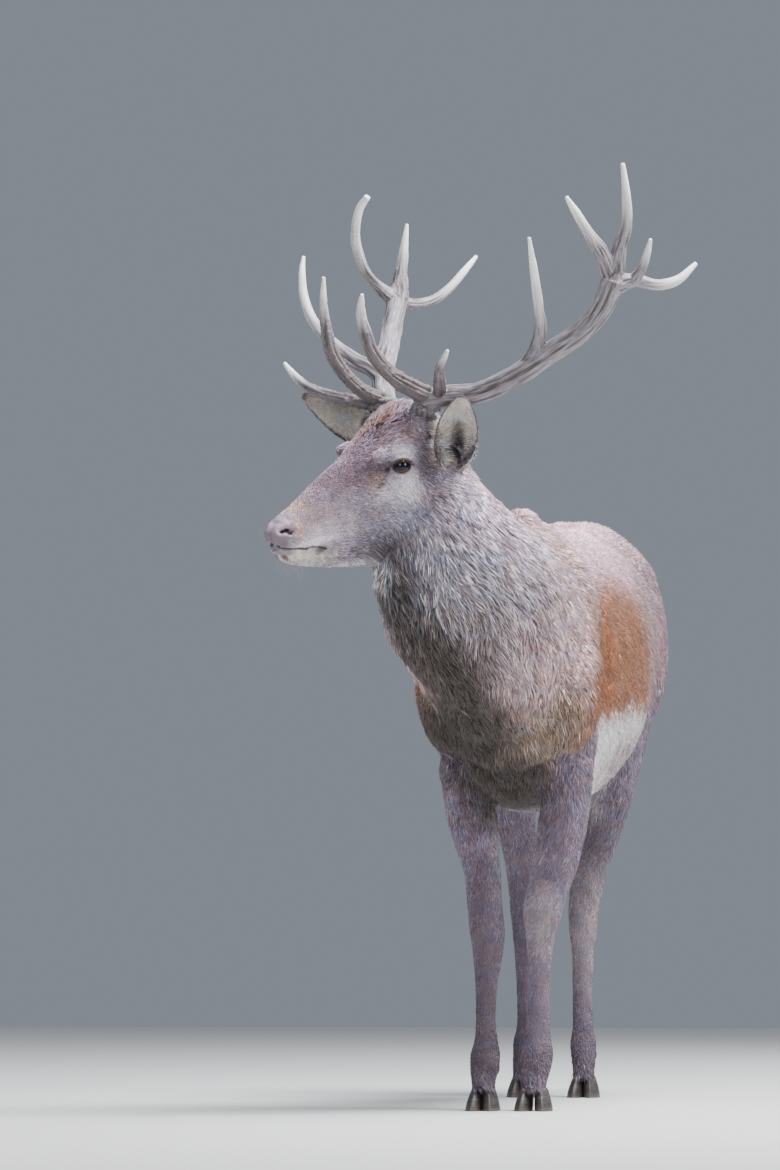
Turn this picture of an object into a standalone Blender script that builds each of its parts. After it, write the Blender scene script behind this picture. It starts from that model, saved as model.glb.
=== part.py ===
"""A life-size red deer stag, standing still with its head turned to its right.

The deer faces -Y, its left side is +X and +Z is up; everything is in metres. The flesh is lofted from
cross-sections, united into one closed body, thinned and parted by flat cuts at the neck and limbs. Eyes,
ears, antlers, hooves, dewclaws and tail are closed solids of their own, seated a hair's breadth clear.
"""

import math

import bmesh
import bpy
import numpy as np
from mathutils import Euler, Matrix, Vector

# ---------------------------------------------------------------- driving dimensions
WITHERS = 1.205  # height of the shoulders, coat included
GAP = 0.0003  # clearance between neighbouring solids
BODY_VOXEL = 0.007  # grid that unites the flesh
BODY_TRIANGLES = 3400
ANTLER_VOXEL = 0.0034
ANTLER_TRIANGLES = 600  # for each antler
SIDES = {"left": 1, "right": -1}

# The head's own axes: forward to the nose, left, and up. Its origin lies midway between the eyes.
HEAD_CENTRE = Vector((-0.2165, -0.800, 1.2782))
HEAD_TURN = math.radians(45)  # to the deer's right
HEAD_DIP = math.radians(14.7)  # nose below the level
HEAD_TILT = math.radians(-9)

EYE_SIDE, EYE_RADIUS = 0.0680, 0.0210
DETAIL = (HEAD_CENTRE, 0.27, 2.1)  # the head keeps more of its triangles

# Trunk: place along Y, back line, belly line, half width, how square the top and the bottom are.
TRUNK = [
    (-0.640, 0.960, 0.830, 0.070, 2.0, 2.0),
    (-0.590, 1.060, 0.720, 0.142, 2.0, 2.0),
    (-0.500, 1.140, 0.635, 0.166, 1.9, 2.0),
    (-0.400, 1.185, 0.603, 0.168, 1.8, 2.0),
    (-0.300, 1.194, 0.600, 0.170, 1.8, 2.1),
    (-0.180, 1.182, 0.596, 0.182, 1.9, 2.2),
    (0.000, 1.172, 0.605, 0.196, 2.0, 2.2),
    (0.180, 1.182, 0.636, 0.200, 2.0, 2.2),
    (0.320, 1.206, 0.690, 0.192, 2.0, 2.1),
    (0.450, 1.220, 0.740, 0.186, 2.0, 2.0),
    (0.570, 1.195, 0.800, 0.170, 2.1, 2.0),
    (0.660, 1.130, 0.860, 0.132, 2.2, 2.0),
    (0.722, 1.050, 0.930, 0.070, 2.0, 2.0),
]

# Neck: nape point, throat point, half width.
NECK = [
    ((0.000, -0.400, 1.162), (0.000, -0.560, 0.700), 0.160),
    ((-0.010, -0.490, 1.168), (-0.050, -0.680, 0.790), 0.184),
    ((-0.032, -0.570, 1.196), (-0.135, -0.768, 0.905), 0.171),
    ((-0.056, -0.628, 1.252), (-0.200, -0.792, 1.010), 0.122),
    ((-0.090, -0.664, 1.322), (-0.229, -0.786, 1.085), 0.086),
    ((-0.128, -0.700, 1.364), (-0.236, -0.780, 1.150), 0.070),
]

# Head, in its own axes: forward place, top line, bottom line, half width, squareness of top and bottom.
HEAD = [
    (-0.150, 0.064, -0.110, 0.068, 2.0, 2.0),
    (-0.110, 0.092, -0.158, 0.080, 2.1, 2.1),
    (-0.070, 0.104, -0.182, 0.084, 2.3, 2.2),
    (-0.030, 0.094, -0.193, 0.084, 2.4, 2.2),
    (0.010, 0.072, -0.197, 0.079, 2.4, 2.2),
    (0.050, 0.047, -0.195, 0.068, 2.3, 2.3),
    (0.090, 0.026, -0.190, 0.057, 2.2, 2.3),
    (0.130, 0.009, -0.181, 0.048, 2.1, 2.3),
    (0.170, -0.011, -0.170, 0.042, 2.1, 2.3),
    (0.210, -0.033, -0.159, 0.039, 2.1, 2.2),
    (0.245, -0.048, -0.147, 0.038, 2.1, 2.2),
    (0.260, -0.055, -0.136, 0.034, 2.1, 2.2),
    (0.273, -0.072, -0.118, 0.023, 2.0, 2.0),
]

# Legs: centre of each section, half width across and half depth front to back, from the top down.
LEGS = {
    "foreleg_left": [
        ((0.106, -0.420, 0.860), 0.056, 0.120),
        ((0.106, -0.415, 0.760), 0.055, 0.105),
        ((0.104, -0.420, 0.680), 0.052, 0.078),
        ((0.098, -0.424, 0.590), 0.050, 0.054),
        ((0.083, -0.428, 0.505), 0.047, 0.042),
        ((0.067, -0.432, 0.445), 0.041, 0.036),
        ((0.056, -0.434, 0.395), 0.039, 0.037),
        ((0.051, -0.430, 0.345), 0.029, 0.031),
        ((0.049, -0.424, 0.280), 0.0225, 0.026),
        ((0.047, -0.420, 0.200), 0.0225, 0.025),
        ((0.045, -0.420, 0.150), 0.0255, 0.029),
        ((0.043, -0.422, 0.115), 0.0335, 0.033),
        ((0.041, -0.436, 0.076), 0.0310, 0.030),
        ((0.040, -0.450, 0.036), 0.0380, 0.042),
    ],
    "foreleg_right": [
        ((-0.110, -0.420, 0.860), 0.056, 0.120),
        ((-0.107, -0.420, 0.760), 0.056, 0.105),
        ((-0.100, -0.425, 0.680), 0.052, 0.076),
        ((-0.084, -0.428, 0.575), 0.050, 0.052),
        ((-0.067, -0.430, 0.485), 0.038, 0.038),
        ((-0.061, -0.432, 0.415), 0.035, 0.035),
        ((-0.055, -0.434, 0.355), 0.035, 0.037),
        ((-0.055, -0.430, 0.310), 0.030, 0.031),
        ((-0.058, -0.424, 0.258), 0.0235, 0.026),
        ((-0.060, -0.420, 0.190), 0.0205, 0.025),
        ((-0.060, -0.420, 0.145), 0.0225, 0.029),
        ((-0.061, -0.422, 0.110), 0.0300, 0.033),
        ((-0.062, -0.436, 0.074), 0.0285, 0.030),
        ((-0.062, -0.450, 0.036), 0.0330, 0.042),
    ],
    "hindleg_left": [
        ((0.092, 0.530, 0.980), 0.074, 0.160),
        ((0.098, 0.510, 0.870), 0.070, 0.160),
        ((0.090, 0.500, 0.770), 0.057, 0.128),
        ((0.074, 0.530, 0.680), 0.048, 0.088),
        ((0.046, 0.585, 0.585), 0.042, 0.058),
        ((0.014, 0.640, 0.500), 0.036, 0.046),
        ((-0.004, 0.662, 0.440), 0.035, 0.048),
        ((-0.009, 0.652, 0.380), 0.0320, 0.036),
        ((-0.008, 0.636, 0.300), 0.0255, 0.028),
        ((-0.006, 0.618, 0.200), 0.0220, 0.026),
        ((-0.004, 0.610, 0.150), 0.0225, 0.029),
        ((-0.003, 0.604, 0.115), 0.0280, 0.033),
        ((0.000, 0.588, 0.076), 0.0265, 0.030),
        ((0.002, 0.572, 0.036), 0.0340, 0.040),
    ],
    "hindleg_right": [
        ((-0.092, 0.530, 0.980), 0.074, 0.160),
        ((-0.108, 0.510, 0.870), 0.068, 0.160),
        ((-0.122, 0.500, 0.770), 0.057, 0.128),
        ((-0.136, 0.530, 0.680), 0.048, 0.088),
        ((-0.144, 0.585, 0.585), 0.041, 0.058),
        ((-0.140, 0.640, 0.500), 0.036, 0.046),
        ((-0.136, 0.662, 0.440), 0.035, 0.048),
        ((-0.133, 0.652, 0.380), 0.0320, 0.036),
        ((-0.129, 0.636, 0.300), 0.0255, 0.028),
        ((-0.125, 0.618, 0.200), 0.0220, 0.026),
        ((-0.124, 0.610, 0.150), 0.0225, 0.029),
        ((-0.125, 0.604, 0.115), 0.0280, 0.033),
        ((-0.126, 0.588, 0.076), 0.0265, 0.030),
        ((-0.127, 0.572, 0.036), 0.0340, 0.040),
    ],
}

# Ears: root, tip and the way the cup faces, in the head's axes.
EARS = {
    "left": {"root": (-0.120, 0.080, -0.020), "tip": (-0.073, 0.199, 0.139), "facing": (0.62, 0.70, -0.10)},
    "right": {"root": (-0.105, -0.080, 0.010), "tip": (0.012, -0.213, 0.115), "facing": (0.64, 0.58, -0.02)},
}
EAR_WIDTH, EAR_WALL, EAR_BOW = 0.084, 0.005, 0.012
# share of the length, share of the full width, how far the rims curl round in degrees
EAR_OUTLINE = [
    (0.00, 0.42, 150),
    (0.10, 0.56, 138),
    (0.24, 0.84, 115),
    (0.40, 0.99, 92),
    (0.56, 0.97, 78),
    (0.72, 0.78, 68),
    (0.86, 0.50, 60),
    (0.95, 0.26, 55),
    (1.00, 0.08, 50),
]

# Antlers: points along each tine's middle, with its radius there.
ANTLERS = {
    "left": {
        "beam": [
            (-0.128, -0.812, 1.368, 0.022), (-0.112, -0.832, 1.396, 0.022), (-0.063, -0.852, 1.404, 0.021),
            (-0.005, -0.875, 1.408, 0.0204), (0.070, -0.915, 1.436, 0.0210), (0.145, -0.945, 1.480, 0.0208),
            (0.214, -0.965, 1.524, 0.0203), (0.252, -0.980, 1.567, 0.0212), (0.273, -0.985, 1.615, 0.0235),
        ],
        "brow": [
            (-0.104, -0.840, 1.402, 0.0166), (-0.148, -0.862, 1.424, 0.0166), (-0.185, -0.880, 1.450, 0.0146),
            (-0.212, -0.905, 1.488, 0.0131), (-0.226, -0.930, 1.535, 0.0107), (-0.227, -0.950, 1.568, 0.0087),
            (-0.221, -0.971, 1.596, 0.0034),
        ],
        "bez": [
            (-0.089, -0.840, 1.403, 0.0127), (-0.080, -0.900, 1.425, 0.0117), (-0.072, -0.950, 1.447, 0.0092),
            (-0.059, -0.985, 1.466, 0.0072), (-0.046, -1.018, 1.481, 0.0034),
        ],
        "trez": [
            (0.080, -0.920, 1.444, 0.0116), (0.114, -0.945, 1.484, 0.0138), (0.131, -0.985, 1.528, 0.0118),
            (0.131, -1.020, 1.569, 0.0094), (0.131, -1.075, 1.625, 0.0080), (0.129, -1.131, 1.688, 0.0033),
        ],
        "crown_front": [
            (0.267, -0.985, 1.619, 0.0173), (0.255, -1.010, 1.661, 0.0144), (0.230, -1.030, 1.704, 0.0106),
            (0.208, -1.050, 1.743, 0.0082), (0.192, -1.067, 1.771, 0.0038),
        ],
        "crown_top": [
            (0.275, -0.985, 1.624, 0.0193), (0.286, -1.000, 1.675, 0.0135), (0.302, -1.015, 1.720, 0.0110),
            (0.304, -1.030, 1.772, 0.0091), (0.299, -1.047, 1.836, 0.0043),
        ],
        "crown_back": [
            (0.276, -0.985, 1.607, 0.0193), (0.314, -0.975, 1.615, 0.0135), (0.354, -0.955, 1.608, 0.0101),
            (0.392, -0.935, 1.619, 0.0092), (0.425, -0.914, 1.652, 0.0043),
        ],
        "crown_spur": [
            (0.311, -0.980, 1.615, 0.0116), (0.330, -0.995, 1.637, 0.0091), (0.342, -1.010, 1.666, 0.0072),
            (0.351, -1.029, 1.691, 0.0034),
        ],
    },
    "right": {
        "beam": [
            (-0.206, -0.752, 1.366, 0.022), (-0.213, -0.737, 1.395, 0.022), (-0.222, -0.700, 1.429, 0.0212),
            (-0.231, -0.640, 1.466, 0.0208), (-0.234, -0.575, 1.512, 0.0208), (-0.235, -0.520, 1.555, 0.0199),
            (-0.236, -0.460, 1.604, 0.0200), (-0.236, -0.433, 1.641, 0.0220),
        ],
        "brow": [
            (-0.211, -0.740, 1.401, 0.0157), (-0.247, -0.765, 1.417, 0.0147), (-0.276, -0.785, 1.442, 0.0137),
            (-0.300, -0.805, 1.476, 0.0122), (-0.313, -0.825, 1.514, 0.0112), (-0.317, -0.840, 1.558, 0.0093),
            (-0.317, -0.855, 1.600, 0.0068), (-0.314, -0.867, 1.638, 0.0034),
        ],
        "bez": [
            (-0.216, -0.735, 1.397, 0.0138), (-0.259, -0.730, 1.400, 0.0128), (-0.306, -0.720, 1.409, 0.0118),
            (-0.352, -0.712, 1.423, 0.0103), (-0.391, -0.706, 1.446, 0.0084), (-0.422, -0.700, 1.482, 0.0035),
        ],
        "trez": [
            (-0.219, -0.690, 1.437, 0.0148), (-0.253, -0.655, 1.469, 0.0158), (-0.290, -0.640, 1.488, 0.0148),
            (-0.337, -0.620, 1.524, 0.0124), (-0.379, -0.600, 1.569, 0.0104), (-0.401, -0.585, 1.618, 0.0089),
            (-0.407, -0.575, 1.667, 0.0070), (-0.406, -0.564, 1.703, 0.0035),
        ],
        "crown_front": [
            (-0.236, -0.450, 1.620, 0.0180), (-0.263, -0.455, 1.640, 0.0130), (-0.292, -0.475, 1.673, 0.0105),
            (-0.308, -0.495, 1.718, 0.0100), (-0.310, -0.510, 1.758, 0.0095), (-0.300, -0.525, 1.797, 0.0085),
            (-0.280, -0.541, 1.823, 0.0065),
        ],
        "crown_top": [
            (-0.233, -0.440, 1.625, 0.0200), (-0.230, -0.435, 1.677, 0.0130), (-0.223, -0.440, 1.721, 0.0095),
            (-0.216, -0.444, 1.775, 0.0035),
        ],
        "crown_back": [
            (-0.231, -0.440, 1.615, 0.0160), (-0.200, -0.420, 1.615, 0.0110), (-0.169, -0.395, 1.626, 0.0095),
            (-0.142, -0.375, 1.649, 0.0090), (-0.115, -0.350, 1.685, 0.0075), (-0.092, -0.328, 1.718, 0.0040),
        ],
    },
}


# How far out along each tine its cut lies.
TINE_CUTS = {
    "left": {
        "brow": 0.036, "bez": 0.030, "trez": 0.034, "crown_front": 0.052, "crown_top": 0.050,
        "crown_spur": 0.026, "crown_back": 0.062,
    },
    "right": {
        "brow": 0.034, "bez": 0.036, "trez": 0.038,
        "crown_front": 0.048, "crown_top": 0.046, "crown_back": 0.046,
    },
}

TAIL = [
    ((0.0, 0.630, 1.130), 0.026, 0.020),
    ((0.0, 0.690, 1.112), 0.028, 0.020),
    ((0.0, 0.728, 1.070), 0.028, 0.020),
    ((0.0, 0.744, 1.010), 0.025, 0.018),
    ((0.0, 0.745, 0.958), 0.017, 0.013),
    ((0.0, 0.742, 0.930), 0.006, 0.006),
]

# Hoof claws: height, length, width and backward shift of each ring, from the sole up to the hair line.
CLAW_RINGS = [
    (0.0, 0.086, 0.034, 0.0),
    (0.013, 0.084, 0.0345, 0.001),
    (0.034, 0.070, 0.033, 0.005),
    (0.050, 0.058, 0.031, 0.008),
]
HAIR_LINE_SLOPE = 0.15  # the hair line drops towards the heel
CLAW_SPREAD = {
    "foreleg_left": 0.0215,
    "foreleg_right": 0.0178,
    "hindleg_left": 0.0180,
    "hindleg_right": 0.0180,
}
CLAW_TURN = 3  # degrees the toes point outwards

# Where the body is parted: the joint of head and neck (a point, the way ahead and the way up, in the
# head's axes), the joint of neck and chest (low and high points) and the limbs, each with an outline
# across the body, the places along Y between which it runs, and the height of the knee or hock cut.
NECK_JOINT = ((-0.154, 0, -0.035), (0.860, 0, 0.510), (-0.510, 0, 0.860))
CHEST_JOINT = ((0, -0.660, 0.740), (0, -0.440, 1.200))
FORE_LEFT = [
    (-0.010, -0.1), (-0.010, 0.585), (0.030, 0.598),
    (0.200, 0.770), (0.400, 0.770), (0.400, -0.1),
]
FORE_RIGHT = [
    (-0.012, -0.1), (-0.012, 0.585), (-0.030, 0.598),
    (-0.200, 0.770), (-0.400, 0.770), (-0.400, -0.1),
]
HIND_LEFT = [
    (-0.070, -0.1), (-0.070, 0.500), (-0.025, 0.600), (0.000, 0.690),
    (0.036, 0.706), (0.200, 0.860), (0.400, 0.860), (0.400, -0.1),
]
HIND_RIGHT = [
    (-0.076, -0.1), (-0.076, 0.500), (-0.060, 0.600), (-0.004, 0.690),
    (-0.036, 0.706), (-0.200, 0.860), (-0.400, 0.860), (-0.400, -0.1),
]
LEG_JOINTS = {
    "foreleg_left": (FORE_LEFT, -0.62, -0.31, 0.340),
    "foreleg_right": (FORE_RIGHT, -0.62, -0.31, 0.305),
    "hindleg_left": (HIND_LEFT, 0.30, 0.82, 0.395),
    "hindleg_right": (HIND_RIGHT, 0.30, 0.82, 0.395),
}


# ---------------------------------------------------------------- frames and small helpers
def head_axes():
    """The head's forward, left and up directions, as the columns of a matrix."""
    level_forward = Vector((-math.sin(HEAD_TURN), -math.cos(HEAD_TURN), 0))
    level_left = Vector((math.cos(HEAD_TURN), -math.sin(HEAD_TURN), 0))
    upright = Vector((0, 0, 1))
    forward = level_forward * math.cos(HEAD_DIP) - upright * math.sin(HEAD_DIP)
    dipped_up = upright * math.cos(HEAD_DIP) + level_forward * math.sin(HEAD_DIP)
    left = level_left * math.cos(HEAD_TILT) + dipped_up * math.sin(HEAD_TILT)
    up = dipped_up * math.cos(HEAD_TILT) - level_left * math.sin(HEAD_TILT)
    return Matrix((forward, left, up)).transposed()


HEAD_AXES = head_axes()


def from_head(forward, left, up):
    """A point given in the head's own axes."""
    return HEAD_CENTRE + HEAD_AXES @ Vector((forward, left, up))


def smooth_rows(rows, steps):
    """Rows of numbers joined by a curve through them all, with this many steps from row to row."""
    rows = np.array(rows, float)
    padded = np.vstack([2 * rows[0] - rows[1], rows, 2 * rows[-1] - rows[-2]])
    found = []
    for i in range(len(rows) - 1):
        before, start, end, after = padded[i : i + 4]
        for step in range(steps):
            t = step / steps
            found.append(
                0.5 * (2 * start + (end - before) * t
                       + (2 * before - 5 * start + 4 * end - after) * t ** 2
                       + (3 * start - before - 3 * end + after) * t ** 3)
            )
    found.append(rows[-1])
    return np.array(found)


def material(name, colour, roughness, metallic=0.0):
    """A Principled finish, made once for each name."""
    made = bpy.data.materials.get(name)
    if made is None:
        made = bpy.data.materials.new(name)
        made.use_nodes = True
        shader = made.node_tree.nodes["Principled BSDF"]
        shader.inputs["Base Color"].default_value = (*colour, 1)
        shader.inputs["Roughness"].default_value = roughness
        shader.inputs["Metallic"].default_value = metallic
        made.diffuse_color = (*colour, 1)
    return made


def new_object(name, mesh):
    made = bpy.data.objects.new(name, mesh)
    DEER.objects.link(made)
    return made


def from_bmesh(name, shape):
    """The bmesh as a new object, with its faces pointing out."""
    bmesh.ops.recalc_face_normals(shape, faces=shape.faces)
    mesh = bpy.data.meshes.new(name)
    shape.to_mesh(mesh)
    shape.free()
    return new_object(name, mesh)


def applied(target):
    """The object with its modifiers made real."""
    graph = bpy.context.evaluated_depsgraph_get()
    mesh = bpy.data.meshes.new_from_object(target.evaluated_get(graph), depsgraph=graph)
    old = target.data
    target.modifiers.clear()
    target.data = mesh
    bpy.data.meshes.remove(old)
    return target


def copied(name, original):
    made = new_object(name, original.data.copy())
    made.matrix_world = original.matrix_world
    return made


def discard(*objects):
    for unwanted in objects:
        bpy.data.objects.remove(unwanted)


# ---------------------------------------------------------------- shapes
def oval(angle, top_power, bottom_power):
    """Across and up, for a rounded section: a power of 2 is an ellipse, less is a ridge, more is square."""
    power = 2 / (top_power if math.sin(angle) >= 0 else bottom_power)
    across = math.copysign(abs(math.cos(angle)) ** power, math.cos(angle))
    upward = math.copysign(abs(math.sin(angle)) ** power, math.sin(angle))
    return across, upward


def loft(name, sections, steps=4, around=28):
    """A closed form through sections, each a top point, a bottom point, a half width and two powers."""
    rows = smooth_rows([[*top, *bottom, *more] for top, bottom, *more in sections], steps)
    middles = (rows[:, 0:3] + rows[:, 3:6]) / 2
    headings = np.gradient(middles, axis=0)
    shape = bmesh.new()
    rings = []
    for row, middle, heading in zip(rows, middles, headings):
        half_up = Vector(row[0:3]) - Vector(middle)
        side = Vector(heading).cross(half_up).normalized()
        ring = []
        for step in range(around):
            across, upward = oval(2 * math.pi * step / around, row[7], row[8])
            ring.append(shape.verts.new(Vector(middle) + side * (row[6] * across) + half_up * upward))
        rings.append(ring)
    for one, other in zip(rings, rings[1:]):
        for step in range(around):
            after = (step + 1) % around
            shape.faces.new((one[step], one[after], other[after], other[step]))
    shape.faces.new(rings[0])
    shape.faces.new(rings[-1])
    return from_bmesh(name, shape)


def leg_form(name, sections):
    """A limb through upright sections, whose front and back points give the depth."""
    return loft(
        name,
        [
            ((x, y - half_depth, z), (x, y + half_depth, z), half_width, 2.0, 2.0)
            for (x, y, z), half_width, half_depth in sections
        ],
        steps=3,
        around=24,
    )


def ball(name, centre, radii, turn=(0, 0, 0), axes=None, fine=3):
    """An ellipsoid; turn is in degrees about X, Y and Z, or axes is a rotation matrix."""
    shape = bmesh.new()
    bmesh.ops.create_icosphere(shape, subdivisions=fine, radius=1)
    rotation = axes if axes is not None else Euler([math.radians(a) for a in turn]).to_matrix()
    bmesh.ops.transform(
        shape,
        matrix=Matrix.Translation(Vector(centre)) @ rotation.to_4x4() @ Matrix.Diagonal((*radii, 1)),
        verts=shape.verts,
    )
    return from_bmesh(name, shape)


def tine_form(name, points, smoothed=True):
    """A round, tapering curve with filled ends, as a mesh."""
    rows = smooth_rows(points, 4) if smoothed else points
    curve = bpy.data.curves.new(name, "CURVE")
    curve.dimensions = "3D"
    curve.bevel_depth = 1.0
    curve.bevel_resolution = 4
    curve.use_fill_caps = True
    line = curve.splines.new("POLY")
    line.points.add(len(rows) - 1)
    for point, (x, y, z, radius) in zip(line.points, rows):
        point.co = (x, y, z, 1)
        point.radius = radius
    drawn = new_object(name + "_line", curve)
    graph = bpy.context.evaluated_depsgraph_get()
    mesh = bpy.data.meshes.new_from_object(drawn.evaluated_get(graph), depsgraph=graph)
    shape = bmesh.new()
    shape.from_mesh(mesh)
    bmesh.ops.remove_doubles(shape, verts=shape.verts, dist=1e-5)
    discard(drawn)
    return from_bmesh(name, shape)


def relax(mesh, passes, share=None):
    """Evens a mesh out; every second pass pushes back, so that thin limbs keep their girth."""
    edges = np.empty(len(mesh.edges) * 2, np.int64)
    mesh.edges.foreach_get("vertices", edges)
    one, other = edges.reshape(-1, 2).T
    places = np.empty(len(mesh.vertices) * 3)
    mesh.vertices.foreach_get("co", places)
    places = places.reshape(-1, 3)
    count = np.bincount(edges, minlength=len(places))[:, None]
    weights = 1.0 if share is None else share(places)[:, None]
    for step in range(2 * passes):
        total = np.stack(
            [
                np.bincount(one, places[other, axis], len(places))
                + np.bincount(other, places[one, axis], len(places))
                for axis in range(3)
            ],
            axis=1,
        )
        places += (0.60 if step % 2 == 0 else -0.615) * weights * (total / count - places)
    mesh.vertices.foreach_set("co", places.ravel())
    mesh.update()


def magnified(mesh, centre, reach, times, back=False):
    """Swells a mesh about a centre, so that thinning spares what lies within reach; back undoes it."""
    places = np.empty(len(mesh.vertices) * 3)
    mesh.vertices.foreach_get("co", places)
    offsets = places.reshape(-1, 3) - np.array(centre)
    far = np.linalg.norm(offsets, axis=1, keepdims=True) + 1e-12
    if back:
        changed = np.where(far <= reach * times, far / times, far - reach * times + reach)
    else:
        changed = np.where(far <= reach, far * times, far - reach + reach * times)
    mesh.vertices.foreach_set("co", (np.array(centre) + offsets * changed / far).ravel())
    mesh.update()


def united(name, pieces, voxel, passes, triangles, detail=None):
    """Pieces joined into one skin, relaxed and thinned. detail is a centre, a reach and a swelling."""
    shape = bmesh.new()
    for piece in pieces:
        shape.from_mesh(piece.data)
    discard(*pieces)
    mesh = bpy.data.meshes.new(name)
    shape.to_mesh(mesh)
    shape.free()
    whole = new_object(name, mesh)
    remesh = whole.modifiers.new("unite", "REMESH")
    remesh.mode = "VOXEL"
    remesh.voxel_size = voxel
    applied(whole)
    relax(whole.data, passes)
    if detail:
        centre, reach, _ = detail
        relax(
            whole.data,
            8 * passes,
            lambda places: np.clip(np.linalg.norm(places - np.array(centre), axis=1) / reach - 1, 0, 1)
            * np.clip((places[:, 2] - 0.55) / 0.25, 0, 1),
        )
        magnified(whole.data, *detail)
    thin = whole.modifiers.new("thin", "DECIMATE")
    thin.ratio = triangles / (2 * len(whole.data.polygons))
    thin.use_collapse_triangulate = True
    applied(whole)
    if detail:
        magnified(whole.data, *detail, back=True)
    return whole


# ---------------------------------------------------------------- cutting and seating
def boolean(target, other, operation):
    step = target.modifiers.new(operation.lower(), "BOOLEAN")
    step.operation = operation
    step.object = other
    step.solver = "EXACT"
    return applied(target)


def grown(original, amount):
    """A copy pushed outwards, to cut a clear seat for the original."""
    copy = copied(original.name + "_grown", original)
    push = copy.modifiers.new("push", "DISPLACE")
    push.strength = amount
    push.mid_level = 0
    return applied(copy)


def seat(host, piece, clearance=GAP):
    """Cuts room for the piece out of its host."""
    cutter = grown(piece, clearance)
    boolean(host, cutter, "DIFFERENCE")
    discard(cutter)


def trim(piece, host, clearance=GAP):
    """Cuts away what of the piece lies in its host, so that it stands on the host's surface."""
    cutter = grown(host, clearance)
    boolean(piece, cutter, "DIFFERENCE")
    discard(cutter)


def block(low, high, origin=(0, 0, 0), axes=None):
    """A box to cut with, between two corners given in its own axes."""
    shape = bmesh.new()
    bmesh.ops.create_cube(shape, size=1)
    low, high = Vector(low), Vector(high)
    rotation = (axes if axes is not None else Matrix.Identity(3)).to_4x4()
    within = Matrix.Translation((low + high) / 2) @ Matrix.Diagonal((*(high - low), 1))
    placed = Matrix.Translation(Vector(origin)) @ rotation @ within
    bmesh.ops.transform(shape, matrix=placed, verts=shape.verts)
    return from_bmesh("block", shape)


def slab(outline, start, end):
    """A flat shape in X and Z, drawn out along Y from start to end."""
    shape = bmesh.new()
    rings = [[shape.verts.new((x, y, z)) for x, z in outline] for y in (start, end)]
    for step in range(len(outline)):
        after = (step + 1) % len(outline)
        shape.faces.new((rings[0][step], rings[0][after], rings[1][after], rings[1][step]))
    shape.faces.new(rings[0])
    shape.faces.new(rings[1])
    return from_bmesh("slab", shape)


def part_off(name, host, cutter):
    """What of the host lies in the cutter becomes a node of its own; the host keeps the rest."""
    taken = copied(name, host)
    boolean(taken, cutter, "INTERSECT")
    seat(host, cutter, 1.7 * GAP)
    discard(cutter)
    return taken


# ---------------------------------------------------------------- the deer's parts
def body_flesh():
    """Trunk, neck, head and legs as overlapping forms, with the muscles that show through the coat."""
    forms = [
        loft("trunk_form", [((0, row[0], row[1]), (0, row[0], row[2]), *row[3:]) for row in TRUNK]),
        loft("neck_form", [(nape, throat, half, 1.85, 2.0) for nape, throat, half in NECK]),
        loft(
            "head_form",
            [
                (from_head(place, 0, top), from_head(place, 0, bottom), half, a, b)
                for place, top, bottom, half, a, b in HEAD
            ],
        ),
        ball("withers", (0, -0.345, 1.120), (0.052, 0.120, 0.088)),
        ball("sheath", (0, 0.200, 0.640), (0.024, 0.080, 0.026), (12, 0, 0)),
        ball("scrotum", (0, 0.520, 0.772), (0.034, 0.038, 0.050)),
    ]
    for side, sign in SIDES.items():
        forms += [
            ball(side + "_shoulder_blade", (sign * 0.090, -0.385, 0.960), (0.078, 0.125, 0.165), (22, 0, 0)),
            ball(side + "_shoulder_point", (sign * 0.118, -0.500, 0.840), (0.066, 0.100, 0.130), (-12, 0, 0)),
            ball(side + "_upper_arm", (sign * 0.112, -0.400, 0.760), (0.050, 0.110, 0.110), (-30, 0, 0)),
            ball(side + "_hip", (sign * 0.090, 0.420, 1.075), (0.082, 0.120, 0.080), (0, sign * 25, 0)),
            ball(side + "_haunch", (sign * 0.104, 0.550, 0.950), (0.080, 0.165, 0.180), (10, 0, 0)),
            ball(side + "_brow", from_head(0.006, sign * 0.064, 0.034), (0.044, 0.023, 0.020), axes=HEAD_AXES),
            ball(side + "_cheek", from_head(-0.045, sign * 0.052, -0.110), (0.075, 0.030, 0.066), axes=HEAD_AXES),
            ball(
                side + "_nostril_wing",
                from_head(0.256, sign * 0.022, -0.084),
                (0.026, 0.017, 0.026),
                axes=HEAD_AXES,
            ),
            ball(
                side + "_ear_root",
                HEAD_CENTRE + HEAD_AXES @ Vector(EARS[side]["root"]) * 0.94,
                (0.036, 0.024, 0.040),
                axes=HEAD_AXES,
            ),
            pedicle(side),
        ]
    forms += [leg_form(name, sections) for name, sections in LEGS.items()]
    for name, sections in LEGS.items():
        if name.startswith("hind"):
            (x, y, z), *_ = sections[6]
            forms.append(ball(name + "_hock_point", (x, y + 0.034, z + 0.050), (0.017, 0.018, 0.036), (14, 0, 0)))
    return forms


def pedicle(side):
    """The hairy bony stalk under an antler."""
    x, y, z, _ = ANTLERS[side]["beam"][0]
    x2, y2, z2, _ = ANTLERS[side]["beam"][1]
    top, foot = Vector((x2, y2, z2)), Vector((x, y, z))
    heading = (top - foot).normalized()
    return tine_form(
        side + "_pedicle",
        [(*(foot - heading * 0.045), 0.040), (*foot, 0.034), (*(foot + heading * 0.012), 0.030)],
    )


def eyeball(side, sign):
    made = ball("eye_" + side, from_head(0, sign * EYE_SIDE, 0), (EYE_RADIUS,) * 3, fine=2)
    made.data.materials.append(material("eye", (0.02, 0.012, 0.008), 0.08))
    return made


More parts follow.
